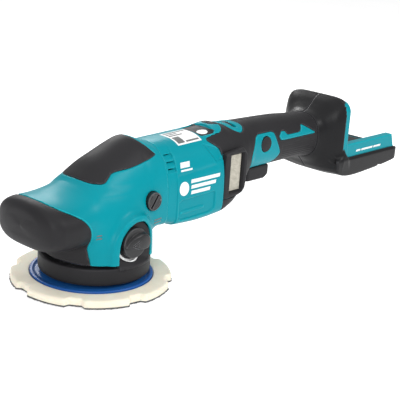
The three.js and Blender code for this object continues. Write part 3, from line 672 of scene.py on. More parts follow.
KNOB_ARCH = Outline([
    (-15.5, 10), (-16, 44), (-13, 54), (-6, 61.5), (4, 66), (14, 65), (21, 58), (24.5, 49), (24.5, 10),
])


DRUM_TOP = 88.0
FRONT_SETBACK = 2.4
CROWN_RIDGE_X, CROWN_REACH, CROWN_HALF = 31.0, 22.4, 30.0
HOOD_WIDTH, HOOD_FACE, HOOD_RADIUS = 5.0, -49.0, 52.2


def apron_step(x, z):
    """How far the drum's front, under the nose, falls back from its teal side."""
    return FRONT_SETBACK * smooth_step(-36, -43, x + 0.16 * (z - 30))


def knob_hood(x, y, z):
    """The raised hood round the knob's arch, which stands out from the drum like a short tube."""
    tube = both(KNOB_ARCH(x, z) - HOOD_WIDTH, HOOD_FACE - y, 3)
    tube = both(tube, np.hypot(x, y) - HOOD_RADIUS, 3)
    return np.maximum(tube, y + 38)


def head_outer(x, y, z):
    """The head's outer surface: the long casing blended into the drum, with a hood round the knob."""
    casing = both(HEAD(x, y, z), NOSE_X - x, 9)
    (drum_radius,) = DRUM.at(z)
    drum = both((np.hypot(x, y) - drum_radius) * 0.95, z - DRUM_TOP, 8) + apron_step(x, z)
    return either(either(casing, drum, 9), knob_hood(x, y, z), 7)


def crown_region(x, y, z):
    """The crown grip, with a rear edge that bows forwards over the ridge."""
    rear_x = CROWN_RIDGE_X + CROWN_REACH * np.minimum(1, np.abs(y) / CROWN_HALF) ** 1.35
    return both(CROWN(x, z), x - rear_x, 1)


PLUG_X, PLUG_Z, PLUG_RADIUS = 33.7, 76.8, 8.5
HEAD_BOTTOM = 30.0


def head_shell(x, y, z):
    """The whole head's wall, before it is divided into cover and grips."""
    outer = head_outer(x, y, z)
    shell = both(outer, -(outer + WALL), 0.4)
    return both(both(shell, HEAD_BOTTOM - z, 0.5), x - HEAD_END_X, 0.5)


def head_cover_field(x, y, z):
    grips = FRONT_GRIP(x, z) - SEAM_GAP, crown_region(x, y, z) - SEAM_GAP
    shell = without(head_shell(x, y, z), 0.5, *grips)
    shell = without(shell, 0.8, np.maximum(KNOB_ARCH(x, z), y + 36))
    plug = np.maximum(np.hypot(x - PLUG_X, z - PLUG_Z) - PLUG_RADIUS - SEAM_GAP, 30 - np.abs(y))
    return without(shell, 0.5, plug)


def front_grip_field(x, y, z):
    return both(head_shell(x, y, z), FRONT_GRIP(x, z), 0.7)


def crown_grip_field(x, y, z):
    return both(head_shell(x, y, z), crown_region(x, y, z), 0.7)


def make_head():
    field_piece(
        "head_cover_shell", head_cover_field, (-80, -56, 27), (58, 55, 132), 1.0, "teal", "head_cover"
    )
    field_piece(
        "front_grip_skin", front_grip_field, (-88, -55, 27), (-30, 55, 95), 1.0, "elastomer", "front_grip"
    )
    field_piece(
        "crown_grip_skin", crown_grip_field, (-32, -42, 92), (56, 42, 132), 1.0, "elastomer", "crown_grip"
    )


LOUVRES = (96.5, 102.5, 108.5)
LOWER_PANEL = Outline([(69, 69.5), (117, 71), (119, 69.5), (119, 54), (113, 51), (69, 50)], 1, 0.1)
RIB_SLOT = Outline([(72, 59), (104, 60), (104, 56.5), (72, 55.5)], 1, 0.15)
SIDE_FACET = Outline([(108, 116), (131, 109), (131, 98.5), (121, 97.5)], 1, 0.05)
TOP_WINDOW = Outline([(115, -16.5), (113, 0), (115, 16.5), (135, 16.5), (138, 0), (135, -16.5)], 1, 0.1)


def rear_region(x, y, z):
    """Behind the motor housing: the rear outline in side view and a saddle over the top."""
    return np.minimum(REAR(x, z), np.maximum(SADDLE(x, y), 118 - z))


def louvre_relief(x, z):
    """Depth of the louvres' stepped scoops: each gets deeper upwards and ends in a sharp lip."""
    depth = 0.0
    for low in LOUVRES:
        depth = depth + 2.3 * np.clip((z - low) / 3.6, 0, 1) * smooth_step(low + 4.3, low + 3.7, z)
    return depth * smooth_step(57.2, 58, x) * smooth_step(67.4, 66.6, x)


def louvre_slots(x, y, z):
    """The narrow slits under the louvres' lips."""
    return np.minimum.reduce([
        block(x, np.abs(y), z, (59, 20, low + 2.9), (65.6, 50, low + 3.6), 0.2) for low in LOUVRES
    ])


def housing_relief(x, y, z):
    """How far the motor housing's surface is pressed in by its band, panels and creases."""
    side = smooth_step(20, 26, np.abs(y))
    band = 1.1 * (1 - smooth_step(66.6, 67.4, x)) * smooth_step(120, 114, z)
    panel = 1.5 * smooth_step(0.5, -0.5, LOWER_PANEL(x, z)) * side
    rib = 0.9 * smooth_step(0.4, -0.4, RIB_SLOT(x, z)) * side
    crease_z = 92 + 0.05 * (x - 67)
    crease = 0.8 * np.exp(-(((z - crease_z) / 2.2) ** 2)) * smooth_step(66, 70, x) * smooth_step(128, 116, x)
    facet = 2.0 * smooth_step(0.8, -2.5, SIDE_FACET(x, z)) * side
    window = 1.6 * smooth_step(0.5, -0.5, TOP_WINDOW(x, y)) * smooth_step(110, 114, z)
    return band + panel - rib + crease * side + facet + window + louvre_relief(x, z) * side


def motor_housing_field(x, y, z):
    outer = BODY(x, y, z)
    shell = both(outer + housing_relief(x, y, z), -(outer + WALL + RELIEF_ROOM), 0.4)
    shell = both(shell, HOUSING_START_X - x, 0.5)
    shell = without(shell, 0.5, rear_region(x, y, z) - SEAM_GAP)
    return without(shell, 0.3, louvre_slots(x, y, z))


def make_motor_housing():
    low, high = (53, -41, 38), (155, 41, 132)
    field_piece("motor_housing_shell", motor_housing_field, low, high, 0.8, "teal", "motor_housing")


BUTTON_X, BUTTON_Z, BUTTON_RADIUS = 208.0, 100.5, 7.7
DIAL_X, DIAL_Z, DIAL_RADIUS, DIAL_WIDTH = 168.7, 112.0, 12.4, 5.0
SCREWS = [(186, 82), (244, 84), (288, 82)]


def dial_plate(x, y, margin=0.0):
    """The oval panel that the dial's slot is cut in."""
    across = np.abs(y) - 9
    return np.hypot(x - 169, np.maximum(across, 0)) - 10.8 + margin


def trigger_slot(x, y, z):
    return block(x, y, z, (191.5, -14.8, 40), (229.5, 14.8, 86), 1.5)


def filter_window(x, y, z):
    """The cut-outs that the filter frames sit in, on both sides."""
    low, high = box_mm("filter_frame_left")
    return block(
        x, np.abs(y), z, (low.x - SEAM_GAP, -high.y - SEAM_GAP, low.z - SEAM_GAP),
        (high.x + SEAM_GAP, 60, high.z + SEAM_GAP), 1,
    )


def screw_wells(x, y, z, radius, start):
    """The wells of the handle's screws, which run in from the right side down to Y = start."""
    wells = np.minimum.reduce([np.hypot(x - sx, z - sz) - radius for sx, sz in SCREWS])
    return np.maximum(wells, start - y)


def handle_grip_field(x, y, z):
    """The overmould round the handle, with fine ribs behind the switch plate."""
    outer = BODY(x, y, z)
    ribs = both(slab(x, 236, 292), slab(z, 78, 96), 1.5)
    groove = 0.45 * (0.5 + 0.5 * np.cos(z * 2 * math.pi / 2.6)) * smooth_step(1, -1, ribs)
    skin = both(outer + groove, -(outer + SKIN), 0.4)
    skin = both(skin, rear_region(x, y, z), 0.7)
    skin = both(skin, x - GRIP_END_X, 0.7)
    skin = without(
        skin, 0.7, SWITCH_PLATE(x, z), ARROW_STRIP(x, z), np.maximum(dial_plate(x, y), 112 - z),
        trigger_slot(x, y, z), filter_window(x, y, z),
    )
    return without(skin, 0.5, screw_wells(x, y, z, 4, 0))


def liner_outline(y, z):
    """The upright liner's outline from behind, with rounded upper corners."""
    half, top, corner = 40.2, 133.4, 12.5
    return np.hypot(np.maximum(np.abs(y) - half + corner, 0), np.maximum(z - top + corner, 0)) - corner


def tray_field(x, y, z):
    """The battery foot's upright liner and open tray, with inward lips that the battery slides under."""
    liner = both(slab(x, WALL_X + SEAM_GAP, WALL_BACK_X), liner_outline(y, z), 1)
    liner = both(liner, TRAY_BOTTOM - z, 0.6)
    slope = (x - TRAY_END_X + (z - TRAY_BOTTOM) * 7 / 19.7) * 0.94
    sides = both(np.abs(y) - TRAY_HALF, np.maximum(slab(z, TRAY_BOTTOM, TRAY_TOP), slope), 0.9)
    sides = both(sides, WALL_BACK_X - 1 - x, 0.5)
    behind_wall = WALL_BACK_X - x
    hollow = np.maximum(slab(z, TRAY_FLOOR, TRAY_LIP), np.maximum(np.abs(y) - TRAY_HOLLOW_HALF, behind_wall))
    mouth = np.maximum(np.abs(y) - TRAY_MOUTH_HALF, np.maximum(TRAY_FLOOR - z, behind_wall))
    return either(liner, without(sides, 0.5, hollow, mouth), 1)


def handle_shell_field(x, y, z):
    """The hard body under the overmould, which shows at its inlays, with the battery's liner and tray."""
    outer = BODY(x, y, z)
    plates = np.minimum(SWITCH_PLATE(x, z), ARROW_STRIP(x, z)) + SEAM_GAP
    plates = np.minimum(plates, np.maximum(dial_plate(x, y, SEAM_GAP), 112.5 - z))
    raised = both(outer - 0.3, plates, 0.8)
    tube = either(outer + SKIN + SEAM_GAP, raised, 0.3)
    shell = both(tube, -(outer + SKIN + SEAM_GAP + HANDLE_WALL), 0.4)
    shell = both(shell, rear_region(x, y, z), 0.5)
    shell = both(shell, x - WALL_X - 1, 0.5)
    shell = either(shell, tray_field(x, y, z), 0.4)
    shell = without(shell, 0.8, trigger_slot(x, y, z))
    button = np.hypot(x - BUTTON_X, z - BUTTON_Z) - BUTTON_RADIUS - 0.5
    shell = without(shell, 0.7, np.maximum(button, y + 10))
    dial_slot = block(x, y, z, (DIAL_X - 3.1, -13.4, 110), (DIAL_X + 3.1, 13.4, 140), 1)
    shell = without(shell, 0.6, dial_slot, filter_window(x, y, z))
    return without(shell, 0.4, screw_wells(x, y, z, 4, 14))


def halves(name, field, low, high, step, material, node):
    """The left and right half of a casing, which meet on Y = 0."""
    for side, sign in (("left", -1), ("right", 1)):
        def half(x, y, z, sign=sign):
            return both(field(x, y, z), SEAM_GAP / 2 - sign * y, 0.3)

        corner_low = (low[0], low[1] if sign < 0 else -1, low[2])
        corner_high = (high[0], 1 if sign < 0 else high[1], high[2])
        field_piece(f"{name}_{side}", half, corner_low, corner_high, step, material, f"{node}_{side}")


def make_handle():
    halves(
        "handle_skin", handle_grip_field, (108, -42, 42), (298, 42, 132), 1.0, "elastomer", "handle_grip"
    )
    halves("handle_body", handle_shell_field, (129, -42, 42), (428, 42, 138), 1.0, "teal", "handle_shell")


GUARD_SIDE = Outline([
    (312, 57), (321, 52.5), (333, 50.2), (350, 49.8), (391, 52), (393, 53.4), (397, 53.4), (399, 52.6),
    (424, 55.2), (433, 58.4), (433, 64.4), (427.5, 72.5), (312, 72.5),
], 1)
GUARD_HALF, GUARD_HOLLOW_X = 43.0, 303.0


def guard_field(x, y, z):
    """The flared upright guard and the boat-shaped base under the tray."""
    flare = both(both(FLARE(x, y, z), x - RIM_X, 1), GRIP_END_X + SEAM_GAP - x, 0.7)
    pocket = np.maximum(liner_outline(y, z) - SEAM_GAP, WALL_X - x)
    flare = without(flare, 0.4, pocket)
    flare = without(flare, 1, both(FLARE(x, y, z) + GUARD_WALL, GUARD_HOLLOW_X - x, 1))
    side = np.abs(y) - GUARD_HALF
    corner = np.hypot(np.maximum(np.abs(y) - 33, 0), np.maximum(x - 423, 0)) - 10
    base = both(both(GUARD_SIDE(x, z), side, 2.5), np.where(x > 400, corner, side), 1)
    bevel = (z - 68.6 - 1.3 * (GUARD_HALF - np.abs(y))) * 0.6
    base = both(base, np.where(x > 424, z - 70, bevel), 0.6)
    ledge = np.maximum(np.maximum(np.abs(y) - 40.3, 66 - z), x - TRAY_END_X - 0.3)
    base = without(base, 0.6, ledge, block(x, y, z, (334, -39, 55.6), (424, 39, 90), 0.8))
    tube = np.maximum(BODY(x, y, z) + SKIN, slab(x, 280, 330))
    return without(either(flare, base, 10), 0.5, tube)


def make_guard():
    halves("guard", guard_field, (294, -46, 48), (435, 46, 139), 1.1, "guard", "battery_guard")


# ---- pad ----

PAD_RADIUS, PAD_TOP, HOOK_TOP = 73.0, 8.0, 1.5
BITES, FIRST_BITE, BITE_HALF, BITE_DEPTH = 8, -8.2, 9.6, 4.4


def pad_rim(angle, radius):
    """Vent bites run in from the rim and fade out towards the middle."""
    turn = (math.degrees(angle) - FIRST_BITE) % (360 / BITES)
    turn = min(turn, 360 / BITES - turn)
    offset = math.radians(turn) * PAD_RADIUS / BITE_HALF
    if offset >= 1:
        return radius
    fade = min(1, max(0, (radius - 62) / 8))
    steep = min(1, (1 - offset) / 0.45)
    return radius - BITE_DEPTH * fade * steep * steep * (3 - 2 * steep)


def arc(radius, z, size, start, end, steps):
    """Points of a rounded profile corner, angles in degrees in the [radius, Z] plane."""
    angles = [math.radians(start + (end - start) * i / steps) for i in range(steps + 1)]
    return [(radius + size * math.cos(a), z + size * math.sin(a)) for a in angles]


def make_pad():
    edge = 2.4
    seat_radius, seat_z, hole = 56.6, 5.3, 14.0
    profile = [(hole, HOOK_TOP), (40, HOOK_TOP), (60, HOOK_TOP), (68, HOOK_TOP)]
    profile += arc(PAD_RADIUS - 0.5, HOOK_TOP + 0.5, 0.5, -90, 0, 3)
    profile += arc(PAD_RADIUS - edge, PAD_TOP - edge, edge, 0, 90, 7)
    profile += [(68, PAD_TOP), (64, PAD_TOP), (60, PAD_TOP)]
    profile += arc(seat_radius + 0.8, PAD_TOP - 0.8, 0.8, 90, 180, 3)
    profile += [(seat_radius, seat_z), (40, seat_z), (hole, seat_z)]
    foam = lathe_object("foam_pad", profile, 480, pad_rim)
    finish_piece(foam, "foam", "pad_foam", body="pad")

    face = [(hole, 0.25), (40, 0.25), (66, 0.25), (PAD_RADIUS - 0.4, 0.25), (PAD_RADIUS, 0.5)]
    face += [(PAD_RADIUS, 1.2), (PAD_RADIUS - 0.3, 1.4), (40, 1.4), (hole, 1.4)]
    hooks = lathe_object("hook_cloth", face, 480, pad_rim)
    add_tufts(hooks)
    finish_piece(hooks, "hooks", "hook_face", body="pad")


def add_tufts(thing):
    """Loose hook ends round the rim of the cloth, as short bent prisms."""
    random = np.random.default_rng(7)
    tufts = bmesh.new()
    tufts.from_mesh(thing.data)
    for _ in range(1500):
        angle = random.uniform(0, 2 * math.pi)
        root = pad_rim(angle, PAD_RADIUS) - 0.4
        length = random.uniform(0.5, 1.5)
        level = random.uniform(0.35, 1.1)
        drop = random.uniform(-0.3, 0.25)
        width = random.uniform(0.15, 0.4) / PAD_RADIUS
        corners = []
        for share, size in ((0.0, 1.0), (0.6, 0.8), (1.0, 0.35)):
            radius = root + length * share
            height = max(0.12, level + drop * share * share)
            for side in (-1, 1):
                a = angle + side * width * size
                corners.append((radius * math.cos(a), radius * math.sin(a), height))
            crest = min(height + 0.3 * size, 1.45)
            corners.append((radius * math.cos(angle), radius * math.sin(angle), crest))
        points = [
            tufts.verts.new((SPINDLE_X + (PAD_X + px) * MM, py * MM, pz * MM)) for px, py, pz in corners
        ]
        for band in (0, 3):
            ring, after = points[band : band + 3], points[band + 3 : band + 6]
            for k in range(3):
                n = (k + 1) % 3
                tufts.faces.new((ring[k], ring[n], after[n], after[k]))
        tufts.faces.new((points[2], points[1], points[0]))
        tufts.faces.new((points[6], points[7], points[8]))
    tufts.to_mesh(thing.data)
    tufts.free()


def make_hub():
    """The moulded plate in the pad, with a raised rim and a boss for the bolt."""
    rim, boss, bolt_hole, hole = 55.9, 13.0, 4.6, 13.7
    profile = [(bolt_hole, 6.6), (hole, 6.6), (hole, 5.6), (rim - 0.5, 5.6), (rim, 6.0)]
    profile += arc(rim - 0.7, 8.7, 0.7, 0, 90, 4)
    profile += [(rim - 2.6, 9.4), (rim - 3.1, 9.0), (rim - 3.8, 7.9), (rim - 6.5, 7.8), (rim - 7.5, 8.2)]
    profile += [(boss + 2, 8.2), (boss, 9), (boss, 12.6), (boss - 0.4, 13), (bolt_hole, 13)]
    hub = lathe_object("hub_plate", profile, 160)
    finish_piece(hub, "blue", "pad_hub", body="pad")


# ---- skirt and controls ----

KNOB_X, KNOB_Z, KNOB_RADIUS, KNOB_FACE, KNOB_BACK, KNOB_GRIP = 0.8, 48.0, 13.8, -52.0, -46.6, -57.0
KNOB_LEAF = Outline([
    (-13.8, -1.5), (-10, 3.6), (-4, 7.4), (3, 9), (10, 8.6), (14.6, 4.4), (15.4, -2), (13, -6.8), (6, -6.6),
    (-3, -5), (-10, -3.6),
], 1)
KNOB_ARROW = Outline([(-6.5, -0.5), (0.5, 3), (0.5, -3.6)], 0)
SKIRT_RING = Outline([
    (48.6, 11.6), (50.2, 11.6), (51, 13.1), (51, 25.8), (49.8, 27), (41, 27), (41, 25), (48.6, 25),
], 1)


def skirt_field(x, y, z):
    """A ring round the head's lower end, with a lug and a scooped ledge under the knob."""
    radius = np.hypot(x, y)
    ring = SKIRT_RING(radius, z)
    arch = KNOB_ARCH(x, np.maximum(z, 27)) + 0.6
    lug = both(both(arch, slab(y, -46.2, -43.2), 0.8), 25 - z, 0.8)
    bowl = np.maximum(KNOB_RADIUS + 2.4 - np.hypot(x - KNOB_X, z - KNOB_Z), y + 46.2)
    ledge = both(slab(x, -15, 23.6), np.maximum((z - 27.4 - 52.4 + radius) * 0.7, 25 - z), 1)
    ledge = both(both(ledge, bowl, 0.8), np.maximum(y + 42, radius - 52.4), 0.6)
    solid = either(either(ring, lug, 1.5), ledge, 1)
    hole = np.maximum(np.hypot(x - KNOB_X, z - KNOB_Z) - 4.4, y + 30)
    return without(solid, 0.3, hole)


def make_skirt():
    field_piece("skirt_ring", skirt_field, (-53, -53, 10), (53, 53, 67), 0.9, "elastomer", "skirt")


def knob_field(x, y, z):
    """A disc with a raised leaf-shaped grip across it, on a short shaft with an eccentric peg."""
    u, v = x - KNOB_X, z - KNOB_Z
    radius = np.hypot(u, v)
    disc = both(radius - KNOB_RADIUS, slab(y, KNOB_FACE, KNOB_BACK), 1.2)
    disc = without(disc, 0.2, both(slab(radius, 11.4, 12.0), KNOB_FACE + 0.4 - y, 0.2))
    tilt = math.radians(1)
    along = u * math.cos(tilt) + v * math.sin(tilt)
    side = -u * math.sin(tilt) + v * math.cos(tilt)
    leaf = KNOB_LEAF(along, side)
    crown = KNOB_GRIP + 0.02 * side**2 + 0.012 * (along - 4) ** 2
    flank = leaf + 0.25 * np.maximum(0, KNOB_FACE - y)
    grip = both(flank, np.maximum(crown - y, y - KNOB_FACE - 1), 0.8)
    groove = np.maximum(np.abs(KNOB_ARROW(along, side)) - 0.35, y - crown - 0.6)
    solid = without(either(disc, grip, 0.6), 0.2, groove)
    shaft = both(radius - 4, slab(y, KNOB_BACK - 1, -42.5), 0.3)
    web = both(radius - 6, slab(y, -42.6, -41.4), 0.3)
    peg_at = 4 * math.cos(math.pi / 4)
    peg = both(np.hypot(u - peg_at, v - peg_at) - 1.3, slab(y, -41.5, -36.8), 0.3)
    return np.minimum(np.minimum(solid, shaft), np.minimum(web, peg))


def make_knob():
    field_piece(
        "mode_knob_cap", knob_field, (-14.5, -58, 33), (17, -36, 63), 0.45, "black", "mode_knob", body="knob"
    )


def make_plugs():
    """Slotted plugs in the side handle's bosses."""
    for side, sign in (("left", -1), ("right", 1)):
        def plug_field(x, y, z, sign=sign):
            u, v, depth = x - PLUG_X, z - PLUG_Z, sign * y
            radius = np.hypot(u, v)
            disc = both(radius - PLUG_RADIUS, slab(depth, 33.6, 40.6), 0.9)
            disc = without(disc, 0.2, both(slab(radius, 6.4, 7.0), 40.2 - depth, 0.2))
            tilt = math.radians(55)
            across = u * math.sin(tilt) - v * math.cos(tilt)
            along = u * math.cos(tilt) + v * math.sin(tilt)
            slot = np.maximum(np.maximum(np.abs(across) - 1.1, np.abs(along) - 7), 38.4 - depth)
            return without(disc, 0.4, slot)

        y_low, y_high = sorted((sign * 33, sign * 42))
        low, high = (24, y_low, 67), (43.5, y_high, 86.5)
        field_piece(f"plug_{side}", plug_field, low, high, 0.5, "black", f"side_plug_{side}")


def make_trigger():
    low, high = box_mm("trigger")

    def trigger_field(x, y, z):
        front_curve = 2.0 * ((z - low.z) / (high.z - low.z) - 0.5) ** 2
        body = both(slab(x, low.x + front_curve, high.x), slab(y, low.y, high.y), 3)
        floor = low.z + 3.5 * smooth_step(high.x - 8, high.x, x)
        body = both(body, np.maximum(floor - z, z - high.z), 2.5)
        grooves = 0.3 * (0.5 + 0.5 * np.cos(z * 2 * math.pi / 2.4)) * smooth_step(low.x + 3, low.x + 1, x)
        return body + grooves

    field_piece("trigger_paddle", trigger_field, low, high, 0.7, "elastomer", "trigger", body="trigger")


def make_lock_button():
    def button_field(x, y, z):
        radius = np.hypot(x - BUTTON_X, z - BUTTON_Z)
        dome = -25 + 0.6 * (radius / BUTTON_RADIUS) ** 2
        cap = both(radius - BUTTON_RADIUS, np.maximum(dome - y, y + 19), 0.8)
        return np.minimum(cap, both(radius - 3, slab(y, -19.2, -16), 0.3))

    low = (BUTTON_X - 8.5, -26, BUTTON_Z - 8.5)
    high = (BUTTON_X + 8.5, -15, BUTTON_Z + 8.5)
    field_piece("lock_button_cap", button_field, low, high, 0.5, "elastomer", "lock_button", body="lock")


def make_dial():
    def dial_field(x, y, z):
        radius = np.hypot(y, z - DIAL_Z)
        angle = np.arctan2(y, z - DIAL_Z)
        tooth = 0.5 * smooth_step(0.2, 0.9, 0.5 + 0.5 * np.cos(28 * angle))
        faces = slab(x, DIAL_X - DIAL_WIDTH / 2, DIAL_X + DIAL_WIDTH / 2)
        wheel = both(radius - DIAL_RADIUS + tooth, faces, 0.8)
        return np.minimum(wheel, both(radius - 2, slab(x, DIAL_X + 2, DIAL_X + 4), 0.2))

    low = (DIAL_X - 3.2, -13, DIAL_Z - 13)
    high = (DIAL_X + 4.6, 13, DIAL_Z + 13)
    field_piece("speed_dial_wheel", dial_field, low, high, 0.5, "black", "speed_dial", body="dial")


FILTER_EDGE = Outline([
    (131.6, 61), (133.6, 59), (157.6, 61), (163.6, 68), (163.6, 108), (133.6, 105), (131.6, 103),
], 1)


def make_filters():
    low, high = box_mm("filter_frame_right")
    mesh_low, mesh_high = box_mm("filter_mesh_right")
    for side, sign in (("left", -1), ("right", 1)):
        def frame_field(x, y, z, sign=sign):
            depth = sign * y
            body = both(FILTER_EDGE(x, z), slab(depth, low.y, high.y), 1.6)
            window = both(
                slab(x, mesh_low.x - 0.3, mesh_high.x + 0.3), slab(z, mesh_low.z - 0.3, mesh_high.z + 0.3), 2
            )
            bevel = 0.5 * np.maximum(0, depth - high.y + 3)
            return without(body, 0.7, window - bevel)

        y_low, y_high = sorted((sign * low.y, sign * high.y))
        corner_low, corner_high = (low.x, y_low, low.z), (high.x, y_high, high.z)
        field_piece(
            f"filter_{side}", frame_field, corner_low, corner_high, 0.6, "elastomer", f"filter_frame_{side}",
            slot="black_plastic",
        )
        make_screen(side, sign, mesh_low, mesh_high)


def sheet_object(name, front, back):
    """A closed thin sheet between two grids of points, each of shape [rows, columns, 3]."""
    rows, columns = front.shape[:2]
    number = np.arange(rows * columns).reshape(rows, columns)
    a, b, c, d = number[:-1, :-1], number[1:, :-1], number[1:, 1:], number[:-1, 1:]
    sheet = np.stack([a, b, c, d], -1).reshape(-1, 4)
    ring = np.concatenate([number[:-1, 0], number[-1, :-1], number[:0:-1, -1], number[0, :0:-1]])
    after = np.roll(ring, -1)
    offset = rows * columns
    walls = np.stack([ring, ring + offset, after + offset, after], 1)
    faces = np.concatenate([sheet, sheet[:, ::-1] + offset, walls])
    across = np.cross(front[1, 0] - front[0, 0], front[0, 1] - front[0, 0])
    if across @ (front[0, 0] - back[0, 0]) < 0:
        faces = faces[:, ::-1]
    return new_object(name, np.concatenate([front.reshape(-1, 3), back.reshape(-1, 3)]), faces)


def make_screen(side, sign, low, high):
    """The filter cloth as crossed wires on a thin backing."""
    pitch, step = 1.6, 0.32
    xs = np.arange(low.x, high.x, step)
    zs = np.arange(low.z, high.z, step)
    grid_x, grid_z = np.meshgrid(xs, zs, indexing="ij")
    phase_x, phase_z = grid_x * 2 * math.pi / pitch, grid_z * 2 * math.pi / pitch
    weave = 0.16 * (np.cos(phase_x) + np.cos(phase_z))
    front = np.stack([grid_x, sign * (high.y - 0.35 + weave), grid_z], -1)
    back = np.stack([grid_x, np.full_like(grid_x, sign * low.y), grid_z], -1)
    finish_piece(sheet_object(f"filter_cloth_{side}", front, back), "screen", f"filter_mesh_{side}")


# ---- printed marks ----

PRINT_HEIGHT, PRINT_DEPTH, PRINT_STEP = 0.12, 0.3, 0.7
PRINT_ROUNDS = 40
SLANT = 0.25
SIDE_START, KNOB_START, TOP_START = -50.0, -53.0, 135.0


def bar_grid(low, high, slant=0.0):
    """Points of a parallelogram in a surface's own two directions."""
    count = [max(3, int(abs(b - a) / PRINT_STEP)) for a, b in zip(low, high)]
    u, v = np.meshgrid(*[np.linspace(a, b, n) for a, b, n in zip(low, high, count)], indexing="ij")
    return u + slant * (v - low[1]), v


def oval_grid(centre, half):
    """Points of an oval, drawn out of a square grid."""
    s, t = np.meshgrid(np.linspace(-1, 1, 19), np.linspace(-1, 1, 19), indexing="ij")
    return centre[0] + half[0] * s * np.sqrt(1 - t * t / 2), centre[1] + half[1] * t * np.sqrt(1 - s * s / 2)


def crescent_grid(centre, radii, degrees):
    """Points of a piece of a ring."""
    turns = np.linspace(math.radians(degrees[0]), math.radians(degrees[1]), 40)
    angle, radius = np.meshgrid(turns, np.linspace(*radii, 4), indexing="ij")
    return centre[0] + radius * np.cos(angle), centre[1] + radius * np.sin(angle)


def press_print(name, points, toward, field, material, raised):
    """Moves points along a direction on to a field's surface and makes them a thin printed patch."""
    toward = np.array(toward, float)
    for _ in range(PRINT_ROUNDS):
        points = points + 0.8 * field(points[..., 0], points[..., 1], points[..., 2])[..., None] * toward
    front = points - (PRINT_HEIGHT + raised) * toward
    thing = sheet_object(name, front, points + PRINT_DEPTH * toward)
    finish_piece(thing, material, slot="teal_plastic")


def print_on_side(name, grid, field, material, start=SIDE_START):
    """A print on the left side, from a grid of X and Z."""
    u, v = grid
    press_print(name, np.stack([u, np.full_like(u, start), v], -1), (0, 1, 0), field, material, 0)


def print_on_top(name, grid, field, material, raised=0.0):
    """A print on the top, from a grid of X and Y."""
    u, v = grid
    press_print(name, np.stack([u, v, np.full_like(u, TOP_START)], -1), (0, 0, -1), field, material, raised)


def housing_surface(x, y, z):
    return BODY(x, y, z) + housing_relief(x, y, z)


SIDE_MARKS = {
    "mark_disc": oval_grid((75, 80.5), (6.2, 6.6)),
    "mark_bar_top": bar_grid((84, 84.3), (124, 87.6), SLANT),
    "mark_bar_middle": bar_grid((84, 79), (118, 82.3), SLANT),
    "mark_bar_low": bar_grid((84, 73.7), (110, 77), SLANT),
    "motor_mark": bar_grid((72, 99.6), (84, 104.4), SLANT),
    "motor_mark_line": bar_grid((72, 96.4), (87, 98), SLANT),
}
LABEL_LINES = [
    ((82, 0.4), (110, 2.6)), ((82, -3.4), (96, -1.2)), ((82, -7.2), (100, -5.0)),
    ((82, -19.5), (91, -9.5)), ((93, -19.5), (110, -17.5)),
]


def make_marks():
    """Plain generic marks where the real tool has printing: bars and ovals, with no lettering; also a white
    crescent under the knob, and a dark tray floor sheet that is partly painted shade.
    """
    for name, grid in SIDE_MARKS.items():
        print_on_side(name, grid, housing_surface, "white_print")
    print_on_top("label", bar_grid((80, -21), (112, 4)), housing_surface, "white_print")
    for i, (low, high) in enumerate(LABEL_LINES):
        print_on_top(f"label_line_{i + 1}", bar_grid(low, high), housing_surface, "grey_print", 0.05)
    print_on_top("window_pane", bar_grid((114.6, -15.2), (136, 15.2)), housing_surface, "elastomer")
    print_on_top("window_oval", oval_grid((125, -9), (6.4, 4.4)), housing_surface, "white_print", 0.1)
    for i, (start, end) in enumerate([(348, 356), (358, 380), (382, 396)]):
        stripe = bar_grid((start, 75.4), (end, 77.6), SLANT)
        print_on_side(f"tray_mark_{i + 1}", stripe, tray_field, "white_print")
    # A dark sheet over the tray floor: partly the dark parts inside, partly painted shade in the recess.
    print_on_top("tray_floor_dark_and_shade", bar_grid((345, -29.5), (423, 29.5)), tray_field, "guard")
    for i, (start, end) in enumerate([(-34, -29), (36, 46)]):
        for k, level in enumerate((54.6, 57.4)):
            line = bar_grid((start, level), (end, level + 1.2), SLANT)
            print_on_side(f"head_mark_{i + 1}_{k + 1}", line, head_outer, "grey_print")
    # A white crescent along the lower rim under the knob.
    crescent = crescent_grid((KNOB_X, KNOB_Z), (15.6, 17.6), (212, 318))
    print_on_side("white_crescent", crescent, skirt_field, "white_print", KNOB_START)


# ---- carried-over CAD pieces ----

NODE_MATERIALS = {
    "counterweight": "aluminium",
    "gear_housing": "aluminium",
    "bearing_box": "aluminium",
    "cooling_fan": "black",
    "stator_winding": "copper",
    "sensor_board": "board",
    "dial_encoder": "board",
    "controller": "black",
    "switch_unit": "black",
    "terminal_block": "black",
}


def finish_cad_nodes():
    """CAD pieces that keep their own mesh get small edge rounds and a material, steel unless it is named."""
    for name, node in frame["nodes"].items():
        if name in replaced_nodes:
            continue
        node.data.materials.clear()
        node.data.materials.append(MATERIALS[NODE_MATERIALS.get(name, "steel")])
        bevel = node.modifiers.new("edge_rounds", "BEVEL")
        bevel.width = 0.15 * MM
        bevel.segments = 2
        bevel.limit_method = "ANGLE"
        bevel.angle_limit = math.radians(35)
        bevel.harden_normals = True


# ---- room ----


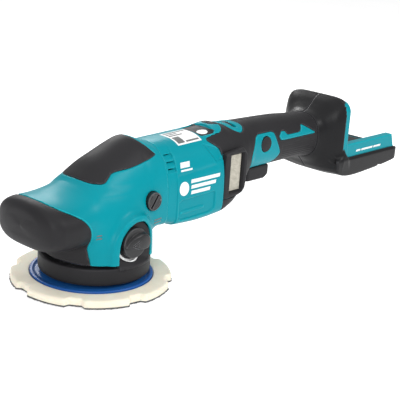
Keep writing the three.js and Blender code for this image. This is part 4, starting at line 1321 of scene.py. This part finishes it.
def area_light(name, place, target, size, power):
    data = bpy.data.lights.new(name, "AREA")
    data.shape = "RECTANGLE"
    data.size, data.size_y = size
    data.energy = power
    light = bpy.data.objects.new(name, data)
    light.location = place
    light.rotation_mode = "QUATERNION"
    light.rotation_quaternion = (target - place).to_track_quat("-Z", "Y")
    bpy.context.scene.collection.objects.link(light)


FLOOR_SIDE, FLOOR_CLEARANCE = 6.0, 0.0004


def make_floor():
    side = FLOOR_SIDE
    mesh = bpy.data.meshes.new("floor")
    mesh.from_pydata(
        [(-side, -side, 0), (side, -side, 0), (side, side, 0), (-side, side, 0)], [], [(0, 1, 2, 3)]
    )
    floor = bpy.data.objects.new("floor", mesh)
    bpy.context.scene.collection.objects.link(floor)
    floor.location.z = cad_low.z - FLOOR_CLEARANCE
    paper = Nodes("floor_paper")
    floor.data.materials.append(paper.finish({
        "Base Color": paper.ramp(paper.noise(3, 2), (0.3, (0.86, 0.86, 0.86)), (0.7, (0.9, 0.9, 0.9))),
        "Roughness": 0.9,
        "Emission Color": (1, 1, 1, 1),
        "Emission Strength": 0.48,
    }))


def make_room():
    """A pale, faintly lit floor and soft boxes overhead, in front and at the back."""
    make_floor()
    world = bpy.data.worlds.new("studio")
    world.use_nodes = True
    background = world.node_tree.nodes["Background"]
    background.inputs["Color"].default_value = (1, 1, 1, 1)
    background.inputs["Strength"].default_value = 0.5
    bpy.context.scene.world = world
    bpy.context.scene.view_settings.view_transform = "Standard"
    centre = (cad_low + cad_high) / 2
    for name, offset, size, power in (
        ("overhead", (-0.2, 0.1, 1.2), (2.4, 1.8), 12),
        ("front_left", (-1.1, -0.7, 0.5), (0.3, 0.45), 6),
        ("near_side", (0.35, -0.95, 0.85), (0.4, 0.25), 7),
        ("rear_edge", (0.5, 0.9, 0.6), (0.6, 0.3), 5),
    ):
        area_light(name, centre + Vector(offset), centre, size, power)


# ---- build ----

make_camera()
make_head()
make_motor_housing()
make_handle()
make_guard()
make_pad()
make_hub()
make_skirt()
make_knob()
make_plugs()
make_trigger()
make_lock_button()
make_dial()
make_filters()
make_marks()
finish_cad_nodes()
make_room()
